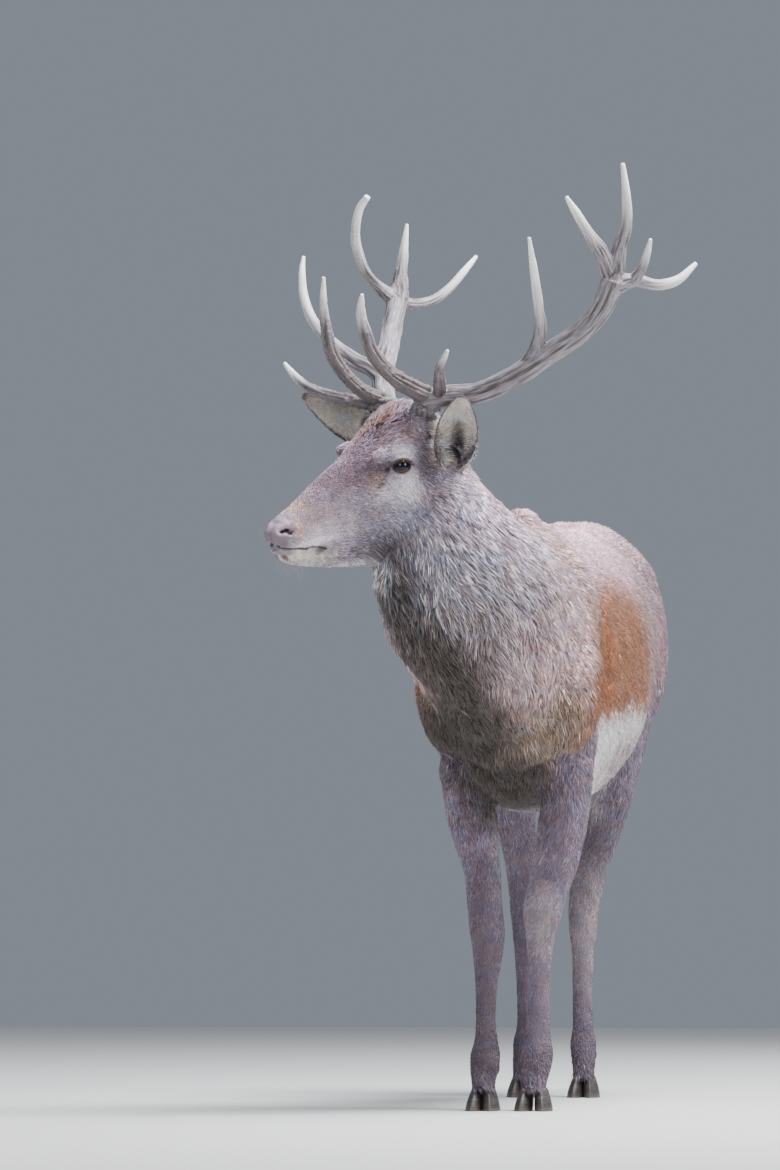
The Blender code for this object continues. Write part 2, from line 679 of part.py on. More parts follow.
def ear(side, sign):
    """A cupped leaf: rows of a curled strip from the root to the tip, given a wall."""
    root = from_head(*EARS[side]["root"])
    tip = from_head(*EARS[side]["tip"])
    along = (tip - root).normalized()
    facing = HEAD_AXES @ Vector(EARS[side]["facing"])
    facing = (facing - along * facing.dot(along)).normalized()
    across = along.cross(facing)
    length = (tip - root).length
    shape = bmesh.new()
    columns = 6
    rows = []
    for share, width, curl in EAR_OUTLINE:
        half_curl = math.radians(curl)
        radius = EAR_WIDTH / 2 * width / math.sin(min(half_curl, math.pi / 2))
        middle = root + along * (length * share) - facing * (EAR_BOW * math.sin(math.pi * share))
        row = []
        for step in range(columns + 1):
            angle = half_curl * (2 * step / columns - 1)
            offset = across * (radius * math.sin(angle)) + facing * (radius * (0.7 - math.cos(angle)))
            row.append(shape.verts.new(middle + offset))
        rows.append(row)
    for one, other in zip(rows, rows[1:]):
        for step in range(columns):
            shape.faces.new((one[step], one[step + 1], other[step + 1], other[step]))
    made = from_bmesh("ear_" + side, shape)
    wall = made.modifiers.new("wall", "SOLIDIFY")
    wall.thickness = EAR_WALL
    wall.offset = 0
    made.data.materials.append(material("ear", (0.33, 0.27, 0.23), 0.9))
    return applied(made)


def antler(side):
    """Burr, beam and tines as one horn."""
    tines = ANTLERS[side]
    pieces = [tine_form(f"{side}_{name}", points) for name, points in tines.items()]
    x, y, z, _ = tines["beam"][1]
    foot = Vector(tines["beam"][0][:3])
    heading = (Vector((x, y, z)) - foot).normalized()
    burr_middle = Vector((x, y, z)) - heading * 0.006
    pieces.append(
        ball(
            side + "_burr",
            burr_middle,
            (0.0315, 0.0315, 0.0105),
            axes=heading.to_track_quat("Z", "Y").to_matrix(),
        )
    )
    return united("antler_" + side, pieces, ANTLER_VOXEL, 2, ANTLER_TRIANGLES)


def split_antler(side, whole):
    """Thin flat cuts part the tines from the beam, a little way out from each fork."""
    tines = ANTLERS[side]
    for name, start in TINE_CUTS[side].items():
        rows = smooth_rows(tines[name], 6)
        travelled = np.concatenate([[0], np.cumsum(np.linalg.norm(np.diff(rows[:, :3], axis=0), axis=1))])
        beyond = rows[int(np.searchsorted(travelled, start)) :].copy()
        beyond[:, 3] += 0.006
        beyond = np.vstack([beyond, beyond[-1] + (beyond[-1] - beyond[-2]) * 4])
        beyond[-1, 3] = 0.008
        part_off(f"antler_{side}_{name}", whole, tine_form("cutter", beyond, smoothed=False))
    whole.name = f"antler_{side}_beam"


def hoof_claw(name, ground, toe_turn):
    """One claw of a cloven hoof: a pointed sole on the ground, narrowing up to the hair line."""
    shape = bmesh.new()
    made = []
    around = 10
    turned = Matrix.Translation(Vector(ground)) @ Matrix.Rotation(toe_turn, 4, "Z")
    for height, length, width, back in CLAW_RINGS:
        ring = []
        for step in range(around):
            angle = 2 * math.pi * (step + 0.5) / around
            toe = math.cos(angle)
            taper = 1 - 0.42 * max(toe, 0) ** 2
            place = turned @ Vector((width / 2 * math.sin(angle) * taper, back - length / 2 * toe, height))
            place.z -= HAIR_LINE_SLOPE * (place.y - ground[1]) * height / CLAW_RINGS[-1][0]
            ring.append(shape.verts.new(place))
        made.append(ring)
    for one, other in zip(made, made[1:]):
        for step in range(around):
            after = (step + 1) % around
            shape.faces.new((one[step], one[after], other[after], other[step]))
    shape.faces.new(made[0])
    shape.faces.new(made[-1])
    claw = from_bmesh(name, shape)
    claw.data.materials.append(material("hoof", (0.03, 0.027, 0.026), 0.45))
    return claw


def feet(leg, cannon):
    """Two claws under the leg, which ends flat upon them, and two dewclaws seated behind it."""
    (x, y, _), *_ = LEGS[leg][-1]
    (fetlock_x, fetlock_y, fetlock_z), *_ = LEGS[leg][-3]
    slope = Matrix.Rotation(-math.atan(HAIR_LINE_SLOPE), 3, "X")
    under = block((-0.2, -0.2, -0.2), (0.2, 0.2, 0), (x, y, CLAW_RINGS[-1][0] + GAP), slope)
    boolean(cannon, under, "DIFFERENCE")
    discard(under)
    for place, across in {"left": 1, "right": -1}.items():
        turn = math.radians(across * CLAW_TURN)
        hoof_claw(f"{leg}_claw_{place}", (x + across * CLAW_SPREAD[leg], y, 0), turn)
        middle = (fetlock_x + across * 0.0165, fetlock_y + 0.028, fetlock_z - 0.026)
        dewclaw = ball(f"{leg}_dewclaw_{place}", middle, (0.0085, 0.011, 0.015), (-25, 0, 0), fine=1)
        dewclaw.data.materials.append(material("hoof", (0.03, 0.027, 0.026), 0.45))
        seat(cannon, dewclaw)


def tail():
    slant = Vector((0, 0.7, 0.7))
    made = loft(
        "tail",
        [
            (Vector(middle) + slant * half_depth, Vector(middle) - slant * half_depth, half_width, 2.0, 2.0)
            for middle, half_width, half_depth in TAIL
        ],
        steps=1,
        around=10,
    )
    made.data.materials.append(material("coat", (0.30, 0.23, 0.19), 0.95))
    return made


def parted(body):
    """The body cut into head, neck, trunk and limbs."""
    tilt = Matrix((NECK_JOINT[1], (0, 1, 0), NECK_JOINT[2])).transposed()
    root = from_head(*NECK_JOINT[0])
    head = part_off("head", body, block((0, -0.4, -0.6), (0.7, 0.4, 0.6), root, HEAD_AXES @ tilt))
    low, high = Vector(CHEST_JOINT[0]), Vector(CHEST_JOINT[1])
    rising = (high - low).normalized()
    ahead = Vector((0, rising.z, -rising.y)) * -1
    lie = Matrix(((1, 0, 0), ahead, rising)).transposed()
    part_off("neck", body, block((-0.5, 0, -0.5), (0.5, 0.8, 1.0), low, lie))
    for leg, (outline, start, end, knee) in LEG_JOINTS.items():
        upper = part_off(leg + "_upper", body, slab(outline, start, end))
        cannon = part_off(leg + "_cannon", upper, block((-0.6, -1.0, -0.5), (0.6, 1.2, knee)))
        feet(leg, cannon)
    return head


def build():
    coat = material("coat", (0.30, 0.23, 0.19), 0.95)
    horn = material("antler", (0.52, 0.46, 0.42), 0.6)
    body = united("trunk", body_flesh(), BODY_VOXEL, 10, BODY_TRIANGLES, DETAIL)
    body.data.materials.append(coat)
    head = parted(body)
    seat(body, tail())
    for side, sign in SIDES.items():
        seat(head, eyeball(side, sign))
        horns = antler(side)
        horns.data.materials.append(horn)
        seat(head, horns)
        split_antler(side, horns)
        trim(ear(side, sign), head)
    settle()


def settle():
    """Sets the deer on the floor, with the middle of its outline's bounding box over the origin."""
    places = np.array([vertex.co for made in DEER.objects for vertex in made.data.vertices])
    low, high = places.min(0), places.max(0)
    shift = Matrix.Translation((-(low[0] + high[0]) / 2, -(low[1] + high[1]) / 2, -low[2]))
    for made in DEER.objects:
        made.data.transform(shift)
        made.data.update()


for leftover in list(bpy.data.objects):
    bpy.data.objects.remove(leftover)
DEER = bpy.data.collections.new("red_deer_stag")
bpy.context.scene.collection.children.link(DEER)
build()
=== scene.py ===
"""A life-size red deer stag, dressed: one skin under a coat of tufts, antlers, eyes and hooves.

The deer faces -Y and its left side is +X, in metres. Shapes are made in the maker's own frame, where the
middle of the withers stands over the origin's line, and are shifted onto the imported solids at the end.
"""
import math

import bmesh
import bpy
import numpy as np
from mathutils import Matrix, Vector


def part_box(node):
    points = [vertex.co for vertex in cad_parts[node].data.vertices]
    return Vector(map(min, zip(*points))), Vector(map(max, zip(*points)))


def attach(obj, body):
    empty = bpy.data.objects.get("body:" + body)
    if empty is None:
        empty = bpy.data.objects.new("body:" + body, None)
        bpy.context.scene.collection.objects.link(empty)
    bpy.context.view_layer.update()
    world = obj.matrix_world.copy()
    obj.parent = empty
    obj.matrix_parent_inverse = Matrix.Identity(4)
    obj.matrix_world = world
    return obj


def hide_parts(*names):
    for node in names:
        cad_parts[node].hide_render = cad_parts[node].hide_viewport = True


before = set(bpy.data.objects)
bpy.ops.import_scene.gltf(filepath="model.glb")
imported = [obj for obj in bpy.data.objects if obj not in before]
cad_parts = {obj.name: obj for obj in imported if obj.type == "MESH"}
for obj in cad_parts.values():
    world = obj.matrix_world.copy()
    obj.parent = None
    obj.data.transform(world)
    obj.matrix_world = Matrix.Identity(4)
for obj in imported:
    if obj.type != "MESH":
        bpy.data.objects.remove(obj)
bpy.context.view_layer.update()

# -------- sizes
SIDES = {"left": 1, "right": -1}
HEAD_CENTRE = np.array((-0.2165, -0.800, 1.2782))  # midway between the eyes
HEAD_TURN, HEAD_DIP, HEAD_TILT = math.radians(45), math.radians(14.7), math.radians(-9)
EYE_SIDE, EYE_RADIUS = 0.0680, 0.0210
SKIN_VOXEL, SKIN_TRIANGLES = 0.0092, 180000
ANTLER_VOXEL = 0.0021

# Trunk: place along Y, back line, belly line, half width, how square the top and the bottom are.
TRUNK = [
    (-0.640, 0.960, 0.830, 0.070, 2.0, 2.0),
    (-0.590, 1.060, 0.720, 0.142, 2.0, 2.0),
    (-0.500, 1.140, 0.635, 0.166, 1.9, 2.0),
    (-0.400, 1.185, 0.603, 0.168, 1.8, 2.0),
    (-0.300, 1.194, 0.600, 0.170, 1.8, 2.1),
    (-0.180, 1.182, 0.596, 0.182, 1.9, 2.2),
    (0.000, 1.172, 0.605, 0.196, 2.0, 2.2),
    (0.180, 1.182, 0.636, 0.200, 2.0, 2.2),
    (0.320, 1.206, 0.690, 0.192, 2.0, 2.1),
    (0.450, 1.220, 0.740, 0.186, 2.0, 2.0),
    (0.570, 1.195, 0.800, 0.170, 2.1, 2.0),
    (0.660, 1.130, 0.860, 0.132, 2.2, 2.0),
    (0.722, 1.050, 0.930, 0.070, 2.0, 2.0),
]
# Neck: nape point, throat point, half width.
NECK = [
    ((0.0, -0.4, 1.162), (0.0, -0.56, 0.7), 0.16),
    ((-0.01, -0.49, 1.168), (-0.05, -0.68, 0.79), 0.184),
    ((-0.032, -0.57, 1.196), (-0.135, -0.768, 0.905), 0.171),
    ((-0.056, -0.628, 1.252), (-0.2, -0.792, 1.01), 0.122),
    ((-0.09, -0.664, 1.322), (-0.229, -0.786, 1.085), 0.086),
    ((-0.128, -0.7, 1.364), (-0.236, -0.78, 1.15), 0.07),
]
# Head, in its own axes: forward place, top line, bottom line, half width, squareness of top and bottom.
HEAD = [
    (-0.150, 0.064, -0.110, 0.068, 2.0, 2.0),
    (-0.110, 0.092, -0.158, 0.080, 2.1, 2.1),
    (-0.070, 0.104, -0.182, 0.084, 2.3, 2.2),
    (-0.030, 0.094, -0.193, 0.084, 2.4, 2.2),
    (0.010, 0.072, -0.197, 0.079, 2.4, 2.2),
    (0.050, 0.047, -0.195, 0.068, 2.3, 2.3),
    (0.090, 0.026, -0.190, 0.057, 2.2, 2.3),
    (0.130, 0.009, -0.181, 0.048, 2.1, 2.3),
    (0.170, -0.011, -0.170, 0.042, 2.1, 2.3),
    (0.210, -0.033, -0.159, 0.039, 2.1, 2.2),
    (0.245, -0.048, -0.147, 0.038, 2.1, 2.2),
    (0.260, -0.055, -0.136, 0.034, 2.1, 2.2),
    (0.273, -0.072, -0.118, 0.023, 2.0, 2.0),
]
# Legs: centre of each section, half width across and half depth front to back, from the top down.
LEGS = {
    "foreleg_left": [
        ((0.106, -0.420, 0.860), 0.056, 0.120),
        ((0.106, -0.415, 0.760), 0.055, 0.105),
        ((0.104, -0.420, 0.680), 0.052, 0.078),
        ((0.098, -0.424, 0.590), 0.050, 0.054),
        ((0.083, -0.428, 0.505), 0.047, 0.042),
        ((0.067, -0.432, 0.445), 0.041, 0.036),
        ((0.056, -0.434, 0.395), 0.039, 0.037),
        ((0.051, -0.430, 0.345), 0.029, 0.031),
        ((0.049, -0.424, 0.280), 0.0225, 0.026),
        ((0.047, -0.420, 0.200), 0.0225, 0.025),
        ((0.045, -0.420, 0.150), 0.0255, 0.029),
        ((0.043, -0.422, 0.115), 0.0335, 0.033),
        ((0.041, -0.436, 0.076), 0.0310, 0.030),
        ((0.040, -0.450, 0.036), 0.0380, 0.042),
    ],
    "foreleg_right": [
        ((-0.110, -0.420, 0.860), 0.056, 0.120),
        ((-0.107, -0.420, 0.760), 0.056, 0.105),
        ((-0.100, -0.425, 0.680), 0.052, 0.076),
        ((-0.084, -0.428, 0.575), 0.050, 0.052),
        ((-0.067, -0.430, 0.485), 0.038, 0.038),
        ((-0.061, -0.432, 0.415), 0.035, 0.035),
        ((-0.055, -0.434, 0.355), 0.035, 0.037),
        ((-0.055, -0.430, 0.310), 0.030, 0.031),
        ((-0.058, -0.424, 0.258), 0.0235, 0.026),
        ((-0.060, -0.420, 0.190), 0.0205, 0.025),
        ((-0.060, -0.420, 0.145), 0.0225, 0.029),
        ((-0.061, -0.422, 0.110), 0.0300, 0.033),
        ((-0.062, -0.436, 0.074), 0.0285, 0.030),
        ((-0.062, -0.450, 0.036), 0.0330, 0.042),
    ],
}
# Hind legs: place back and up and half depth of each section, then its middle across and its half width,
# on the left leg and on the right.
HIND_SECTIONS = [
    (0.530, 0.980, 0.160, (0.092, 0.0740), (-0.092, 0.0740)),
    (0.510, 0.870, 0.160, (0.098, 0.0700), (-0.108, 0.0680)),
    (0.500, 0.770, 0.128, (0.090, 0.0570), (-0.122, 0.0570)),
    (0.530, 0.680, 0.088, (0.074, 0.0480), (-0.136, 0.0480)),
    (0.585, 0.585, 0.058, (0.046, 0.0420), (-0.144, 0.0410)),
    (0.640, 0.500, 0.046, (0.014, 0.0360), (-0.140, 0.0360)),
    (0.662, 0.440, 0.048, (-0.004, 0.0350), (-0.136, 0.0350)),
    (0.652, 0.380, 0.036, (-0.009, 0.0320), (-0.133, 0.0320)),
    (0.636, 0.300, 0.028, (-0.008, 0.0255), (-0.129, 0.0255)),
    (0.618, 0.200, 0.026, (-0.006, 0.0220), (-0.125, 0.0220)),
    (0.610, 0.150, 0.029, (-0.004, 0.0225), (-0.124, 0.0225)),
    (0.604, 0.115, 0.033, (-0.003, 0.0280), (-0.125, 0.0280)),
    (0.588, 0.076, 0.030, (0.000, 0.0265), (-0.126, 0.0265)),
    (0.572, 0.036, 0.040, (0.002, 0.0340), (-0.127, 0.0340)),
]
for column, side in enumerate(SIDES, 3):
    LEGS["hindleg_" + side] = [
        ((row[column][0], row[0], row[1]), row[column][1], row[2]) for row in HIND_SECTIONS
    ]
# Ears: root, tip and the way the cup faces, in the head's axes.
EARS = {
    "left": ((-0.12, 0.08, -0.02), (-0.073, 0.199, 0.139), (0.62, 0.7, -0.1)),
    "right": ((-0.105, -0.08, 0.01), (0.012, -0.213, 0.115), (0.64, 0.58, -0.02)),
}
EAR_WIDTH, EAR_WALL, EAR_BOW = 0.083, 0.0048, 0.012
# share of the length, share of the full width, how far the rims curl round in degrees
EAR_OUTLINE = [
    (0.0, 0.42, 150),
    (0.1, 0.56, 138),
    (0.24, 0.84, 115),
    (0.4, 0.99, 92),
    (0.56, 0.97, 78),
    (0.72, 0.78, 68),
    (0.86, 0.5, 60),
    (0.95, 0.26, 55),
    (0.99, 0.1, 50),
]
# Antlers: points along each tine's middle, with its radius there.
ANTLERS = {
    "left": {
        "beam": [
            (-0.128, -0.812, 1.368, 0.022), (-0.112, -0.832, 1.396, 0.022), (-0.063, -0.852, 1.404, 0.021),
            (-0.005, -0.875, 1.408, 0.0204), (0.07, -0.915, 1.436, 0.021), (0.145, -0.945, 1.48, 0.0208),
            (0.214, -0.965, 1.524, 0.0203), (0.252, -0.98, 1.567, 0.0212), (0.273, -0.985, 1.615, 0.0235),
        ],
        "brow": [
            (-0.104, -0.84, 1.402, 0.0166), (-0.148, -0.862, 1.424, 0.0166), (-0.185, -0.88, 1.45, 0.0146),
            (-0.212, -0.905, 1.488, 0.0131), (-0.226, -0.93, 1.535, 0.0107), (-0.227, -0.95, 1.568, 0.0087),
            (-0.221, -0.971, 1.596, 0.0034),
        ],
        "bez": [
            (-0.089, -0.84, 1.403, 0.0127), (-0.08, -0.9, 1.425, 0.0117), (-0.072, -0.95, 1.447, 0.0092),
            (-0.059, -0.985, 1.466, 0.0072), (-0.046, -1.018, 1.481, 0.0034),
        ],
        "trez": [
            (0.08, -0.92, 1.444, 0.0116), (0.114, -0.945, 1.484, 0.0138), (0.131, -0.985, 1.528, 0.0118),
            (0.131, -1.02, 1.569, 0.0094), (0.131, -1.075, 1.625, 0.008), (0.129, -1.131, 1.688, 0.0033),
        ],
        "crown_front": [
            (0.267, -0.985, 1.619, 0.0173), (0.255, -1.01, 1.661, 0.0144), (0.23, -1.03, 1.704, 0.0106),
            (0.208, -1.05, 1.743, 0.0082), (0.192, -1.067, 1.771, 0.0038),
        ],
        "crown_top": [
            (0.275, -0.985, 1.624, 0.0193), (0.286, -1.0, 1.675, 0.0135), (0.302, -1.015, 1.72, 0.011),
            (0.304, -1.03, 1.772, 0.0091), (0.299, -1.047, 1.836, 0.0043),
        ],
        "crown_back": [
            (0.276, -0.985, 1.607, 0.0193), (0.314, -0.975, 1.615, 0.0135), (0.354, -0.955, 1.608, 0.0101),
            (0.392, -0.935, 1.619, 0.0092), (0.425, -0.914, 1.652, 0.0043),
        ],
        "crown_spur": [
            (0.311, -0.98, 1.615, 0.0116), (0.33, -0.995, 1.637, 0.0091), (0.342, -1.01, 1.666, 0.0072),
            (0.351, -1.029, 1.691, 0.0034),
        ],
    },
    "right": {
        "beam": [
            (-0.206, -0.752, 1.366, 0.022), (-0.213, -0.737, 1.395, 0.022), (-0.222, -0.7, 1.429, 0.0212),
            (-0.231, -0.64, 1.466, 0.0208), (-0.234, -0.575, 1.512, 0.0208), (-0.235, -0.52, 1.555, 0.0199),
            (-0.236, -0.46, 1.604, 0.02), (-0.236, -0.433, 1.641, 0.022),
        ],
        "brow": [
            (-0.211, -0.74, 1.401, 0.0157), (-0.247, -0.765, 1.417, 0.0147), (-0.276, -0.785, 1.442, 0.0137),
            (-0.3, -0.805, 1.476, 0.0122), (-0.313, -0.825, 1.514, 0.0112), (-0.317, -0.84, 1.558, 0.0093),
            (-0.317, -0.855, 1.6, 0.0068), (-0.314, -0.867, 1.638, 0.0034),
        ],
        "bez": [
            (-0.216, -0.735, 1.397, 0.0138), (-0.259, -0.73, 1.4, 0.0128), (-0.306, -0.72, 1.409, 0.0118),
            (-0.352, -0.712, 1.423, 0.0103), (-0.391, -0.706, 1.446, 0.0084), (-0.422, -0.7, 1.482, 0.0035),
        ],
        "trez": [
            (-0.219, -0.69, 1.437, 0.0148), (-0.253, -0.655, 1.469, 0.0158), (-0.29, -0.64, 1.488, 0.0148),
            (-0.337, -0.62, 1.524, 0.0124), (-0.379, -0.6, 1.569, 0.0104), (-0.401, -0.585, 1.618, 0.0089),
            (-0.407, -0.575, 1.667, 0.007), (-0.406, -0.564, 1.703, 0.0035),
        ],
        "crown_front": [
            (-0.236, -0.45, 1.62, 0.018), (-0.263, -0.455, 1.64, 0.013), (-0.292, -0.475, 1.673, 0.0105),
            (-0.308, -0.495, 1.718, 0.01), (-0.31, -0.51, 1.758, 0.0095), (-0.3, -0.525, 1.797, 0.0085),
            (-0.28, -0.541, 1.823, 0.0065),
        ],
        "crown_top": [
            (-0.233, -0.44, 1.625, 0.02), (-0.23, -0.435, 1.677, 0.013), (-0.223, -0.44, 1.721, 0.0095),
            (-0.216, -0.444, 1.775, 0.0035),
        ],
        "crown_back": [
            (-0.231, -0.44, 1.615, 0.016), (-0.2, -0.42, 1.615, 0.011), (-0.169, -0.395, 1.626, 0.0095),
            (-0.142, -0.375, 1.649, 0.009), (-0.115, -0.35, 1.685, 0.0075), (-0.092, -0.328, 1.718, 0.004),
        ],
    },
}
TAIL = [
    ((0.0, 0.63, 1.13), 0.026, 0.02),
    ((0.0, 0.69, 1.112), 0.028, 0.02),
    ((0.0, 0.728, 1.07), 0.028, 0.02),
    ((0.0, 0.744, 1.01), 0.025, 0.018),
    ((0.0, 0.745, 0.958), 0.017, 0.013),
    ((0.0, 0.742, 0.93), 0.006, 0.006),
]
# Hoof claws: height, length, width and backward shift of each ring, from the sole up to the hair line.
CLAW_RINGS = [
    (0.0, 0.087, 0.0345, 0.0),
    (0.012, 0.083, 0.0338, 0.002),
    (0.030, 0.067, 0.0300, 0.008),
    (0.046, 0.051, 0.0245, 0.014),
]
HAIR_LINE, HAIR_LINE_SLOPE = CLAW_RINGS[-1][0], 0.15  # the hair line drops towards the heel
CLAW_CROWN = ((0.80, 0.0035), (0.40, 0.005))  # the rounded top: share of the last ring, and height over it
CLAW_SPREAD = {"foreleg_left": 0.0215, "foreleg_right": 0.0178, "hindleg_left": 0.018, "hindleg_right": 0.018}
CLAW_TURN = math.radians(3)

# -------- frames, curves and noise
def head_axes():
    """The head's forward, left and up directions, one to a row."""
    level_forward = np.array((-math.sin(HEAD_TURN), -math.cos(HEAD_TURN), 0))
    level_left = np.array((math.cos(HEAD_TURN), -math.sin(HEAD_TURN), 0))
    upright = np.array((0.0, 0, 1))
    forward = level_forward * math.cos(HEAD_DIP) - upright * math.sin(HEAD_DIP)
    dipped_up = upright * math.cos(HEAD_DIP) + level_forward * math.sin(HEAD_DIP)
    left = level_left * math.cos(HEAD_TILT) + dipped_up * math.sin(HEAD_TILT)
    up = dipped_up * math.cos(HEAD_TILT) - level_left * math.sin(HEAD_TILT)
    return np.array((forward, left, up))


HEAD_AXES = head_axes()


def from_head(forward, left, up):
    """A point given in the head's own axes."""
    return HEAD_CENTRE + np.array((forward, left, up)) @ HEAD_AXES


def to_head(places):
    """Places in the head's own axes."""
    return (places - HEAD_CENTRE) @ HEAD_AXES.T


def unit(vectors):
    return vectors / np.maximum(np.linalg.norm(vectors, axis=-1, keepdims=True), 1e-9)


def ramp(values, start, end):
    """0 at the start, 1 at the end, easing in and out."""
    share = np.clip((values - start) / (end - start), 0, 1)
    return share * share * (3 - 2 * share)


def smooth_rows(rows, steps):
    """Rows of numbers joined by a curve through them all, with this many steps from row to row."""
    rows = np.array(rows, float)
    padded = np.vstack([2 * rows[0] - rows[1], rows, 2 * rows[-1] - rows[-2]])
    found = []
    for i in range(len(rows) - 1):
        before, start, end, after = padded[i : i + 4]
        for step in range(steps):
            t = step / steps
            found.append(
                0.5 * (2 * start + (end - before) * t
                       + (2 * before - 5 * start + 4 * end - after) * t ** 2
                       + (3 * start - before - 3 * end + after) * t ** 3)
            )
    found.append(rows[-1])
    return np.array(found)


def ripple(places, wavelength, seed, waves=14):
    """A smooth random field of about -1 to 1, whose swells are a wavelength apart."""
    draw = np.random.default_rng(seed)
    heading = unit(draw.normal(size=(waves, 3))) * draw.uniform(0.6, 1.6, (waves, 1))
    phase = draw.uniform(0, 2 * math.pi, waves)
    total = np.zeros(len(places))
    for one, start in zip(heading, phase):
        total += np.sin(places @ (one * 2 * math.pi / wavelength) + start)
    return total / math.sqrt(waves / 2) / 1.5


# -------- shapes as corners and faces
def oval(angles, top_power, bottom_power):
    """Across and up, for a rounded section."""
    power = 2 / np.where(np.sin(angles) >= 0, top_power, bottom_power)
    across = np.sign(np.cos(angles)) * np.abs(np.cos(angles)) ** power
    upward = np.sign(np.sin(angles)) * np.abs(np.sin(angles)) ** power
    return across, upward


def walls(rings, around):
    """Faces between rings of corners, with the first and last ring filled."""
    faces = []
    for start in range(0, (rings - 1) * around, around):
        for step in range(around):
            after = (step + 1) % around
            faces.append((start + step, start + after, start + around + after, start + around + step))
    faces.append(tuple(range(around))[::-1])
    faces.append(tuple((rings - 1) * around + s for s in range(around)))
    return faces


def loft(sections, steps=6, around=48):
    """A closed form through sections, each a top point, a bottom point, a half width and two powers."""
    rows = smooth_rows([[*top, *bottom, *more] for top, bottom, *more in sections], steps)
    middles = (rows[:, 0:3] + rows[:, 3:6]) / 2
    headings = np.gradient(middles, axis=0)
    angles = 2 * math.pi * np.arange(around) / around
    corners = []
    for row, middle, heading in zip(rows, middles, headings):
        half_up = row[0:3] - middle
        side = unit(np.cross(heading, half_up))
        across, upward = oval(angles, row[7], row[8])
        corners.append(middle + np.outer(row[6] * across, side) + np.outer(upward, half_up))
    return np.vstack(corners), walls(len(rows), around)


def leg_form(sections):
    """A limb through upright sections, whose front and back points give the depth."""
    return loft(
        [
            ((x, y - half_depth, z), (x, y + half_depth, z), half_width, 2.0, 2.0)
            for (x, y, z), half_width, half_depth in sections
        ],
        steps=4,
        around=32,
    )


def sphere_shape(fine):
    shape = bmesh.new()
    bmesh.ops.create_icosphere(shape, subdivisions=fine, radius=1)
    corners = np.array([corner.co for corner in shape.verts])
    faces = [tuple(corner.index for corner in face.verts) for face in shape.faces]
    shape.free()
    return corners, faces


SPHERE = sphere_shape(4)


def turned(degrees):
    """Rows of a rotation, in degrees about X, Y and Z in turn."""
    x, y, z = (Matrix.Rotation(math.radians(angle), 3, axis) for angle, axis in zip(degrees, "XYZ"))
    return np.array((z @ y @ x).transposed())


def ball(centre, radii, axes=np.eye(3)):
    corners, faces = SPHERE
    return np.array(centre) + (corners * radii) @ axes, faces


def frames_along(middles):
    """Two directions across a path at each of its points, carried along without twisting."""
    headings = unit(np.gradient(middles, axis=0))
    start = (0, 0, 1) if abs(headings[0][2]) < 0.9 else (1, 0, 0)
    side = unit(np.cross(headings[0], start))
    sides = []
    for heading in headings:
        side = unit(side - heading * side.dot(heading))
        sides.append(side)
    sides = np.array(sides)
    return headings, sides, np.cross(headings, sides)


def way_come(places):
    """How far each place lies along its path."""
    return np.concatenate([[0], np.cumsum(np.linalg.norm(np.diff(places, axis=0), axis=1))])


def tube(rows, around=20):
    """A closed tube along rows of place and radius."""
    rows = np.array(rows, float)
    _, sides, ups = frames_along(rows[:, :3])
    angles = (2 * math.pi * np.arange(around) / around)[None, :, None]
    outward = np.cos(angles) * sides[:, None] + np.sin(angles) * ups[:, None]
    corners = rows[:, None, :3] + rows[:, None, 3:4] * outward
    return corners.reshape(-1, 3), walls(len(rows), around)


def joined(shapes):
    """Several shapes as one list of corners and one of faces."""
    corners, faces, count = [], [], 0
    for places, sides in shapes:
        corners.append(places)
        faces += [tuple(corner + count for corner in side) for side in sides]
        count += len(places)
    return np.vstack(corners), faces


def new_object(name, data):
    """The data as an object in the scene."""
    made = bpy.data.objects.new(name, data)
    bpy.context.scene.collection.objects.link(made)
    return made


def piece(name, shape, *finishes):
    """The shape as an object, with its faces pointing out."""
    corners, faces = shape
    mesh = bpy.data.meshes.new(name)
    mesh.from_pydata([tuple(corner) for corner in corners], [], faces)
    draft = bmesh.new()
    draft.from_mesh(mesh)
    bmesh.ops.recalc_face_normals(draft, faces=draft.faces)
    draft.to_mesh(mesh)
    draft.free()
    for finish in finishes:
        mesh.materials.append(finish)
    return new_object(name, mesh)


def mark(mesh, name, kind, values):
    """Keeps a value, a direction or a colour at every corner of the mesh."""
    field = {"FLOAT": "value", "FLOAT_VECTOR": "vector", "FLOAT_COLOR": "color"}[kind]
    mesh.attributes.new(name, kind, "POINT").data.foreach_set(field, np.ravel(values))


def places_of(mesh):
    places = np.empty(len(mesh.vertices) * 3)
    mesh.vertices.foreach_get("co", places)
    return places.reshape(-1, 3)


def normals_of(mesh):
    found = np.empty(len(mesh.vertices) * 3)
    mesh.vertex_normals.foreach_get("vector", found)
    return found.reshape(-1, 3)


def move_to(mesh, places):
    mesh.vertices.foreach_set("co", np.ascontiguousarray(places).ravel())
    mesh.update()


def applied(target):
    """The object with its modifiers made real."""
    graph = bpy.context.evaluated_depsgraph_get()
    mesh = bpy.data.meshes.new_from_object(target.evaluated_get(graph), depsgraph=graph)
    old = target.data
    target.modifiers.clear()
    target.data = mesh
    bpy.data.meshes.remove(old)
    return target


def relax(mesh, passes, share=None):
    """Evens a mesh out; every second pass pushes back, so that thin limbs keep their girth."""
    edges = np.empty(len(mesh.edges) * 2, np.int64)
    mesh.edges.foreach_get("vertices", edges)
    one, other = edges.reshape(-1, 2).T
    places = places_of(mesh)
    count = np.bincount(edges, minlength=len(places))[:, None]
    weights = 1.0 if share is None else share(places)[:, None]
    for step in range(2 * passes):
        total = np.stack(
            [
                np.bincount(one, places[other, axis], len(places))
                + np.bincount(other, places[one, axis], len(places))
                for axis in range(3)
            ],
            axis=1,
        )
        places += (0.60 if step % 2 == 0 else -0.615) * weights * (total / count - places)
    move_to(mesh, places)


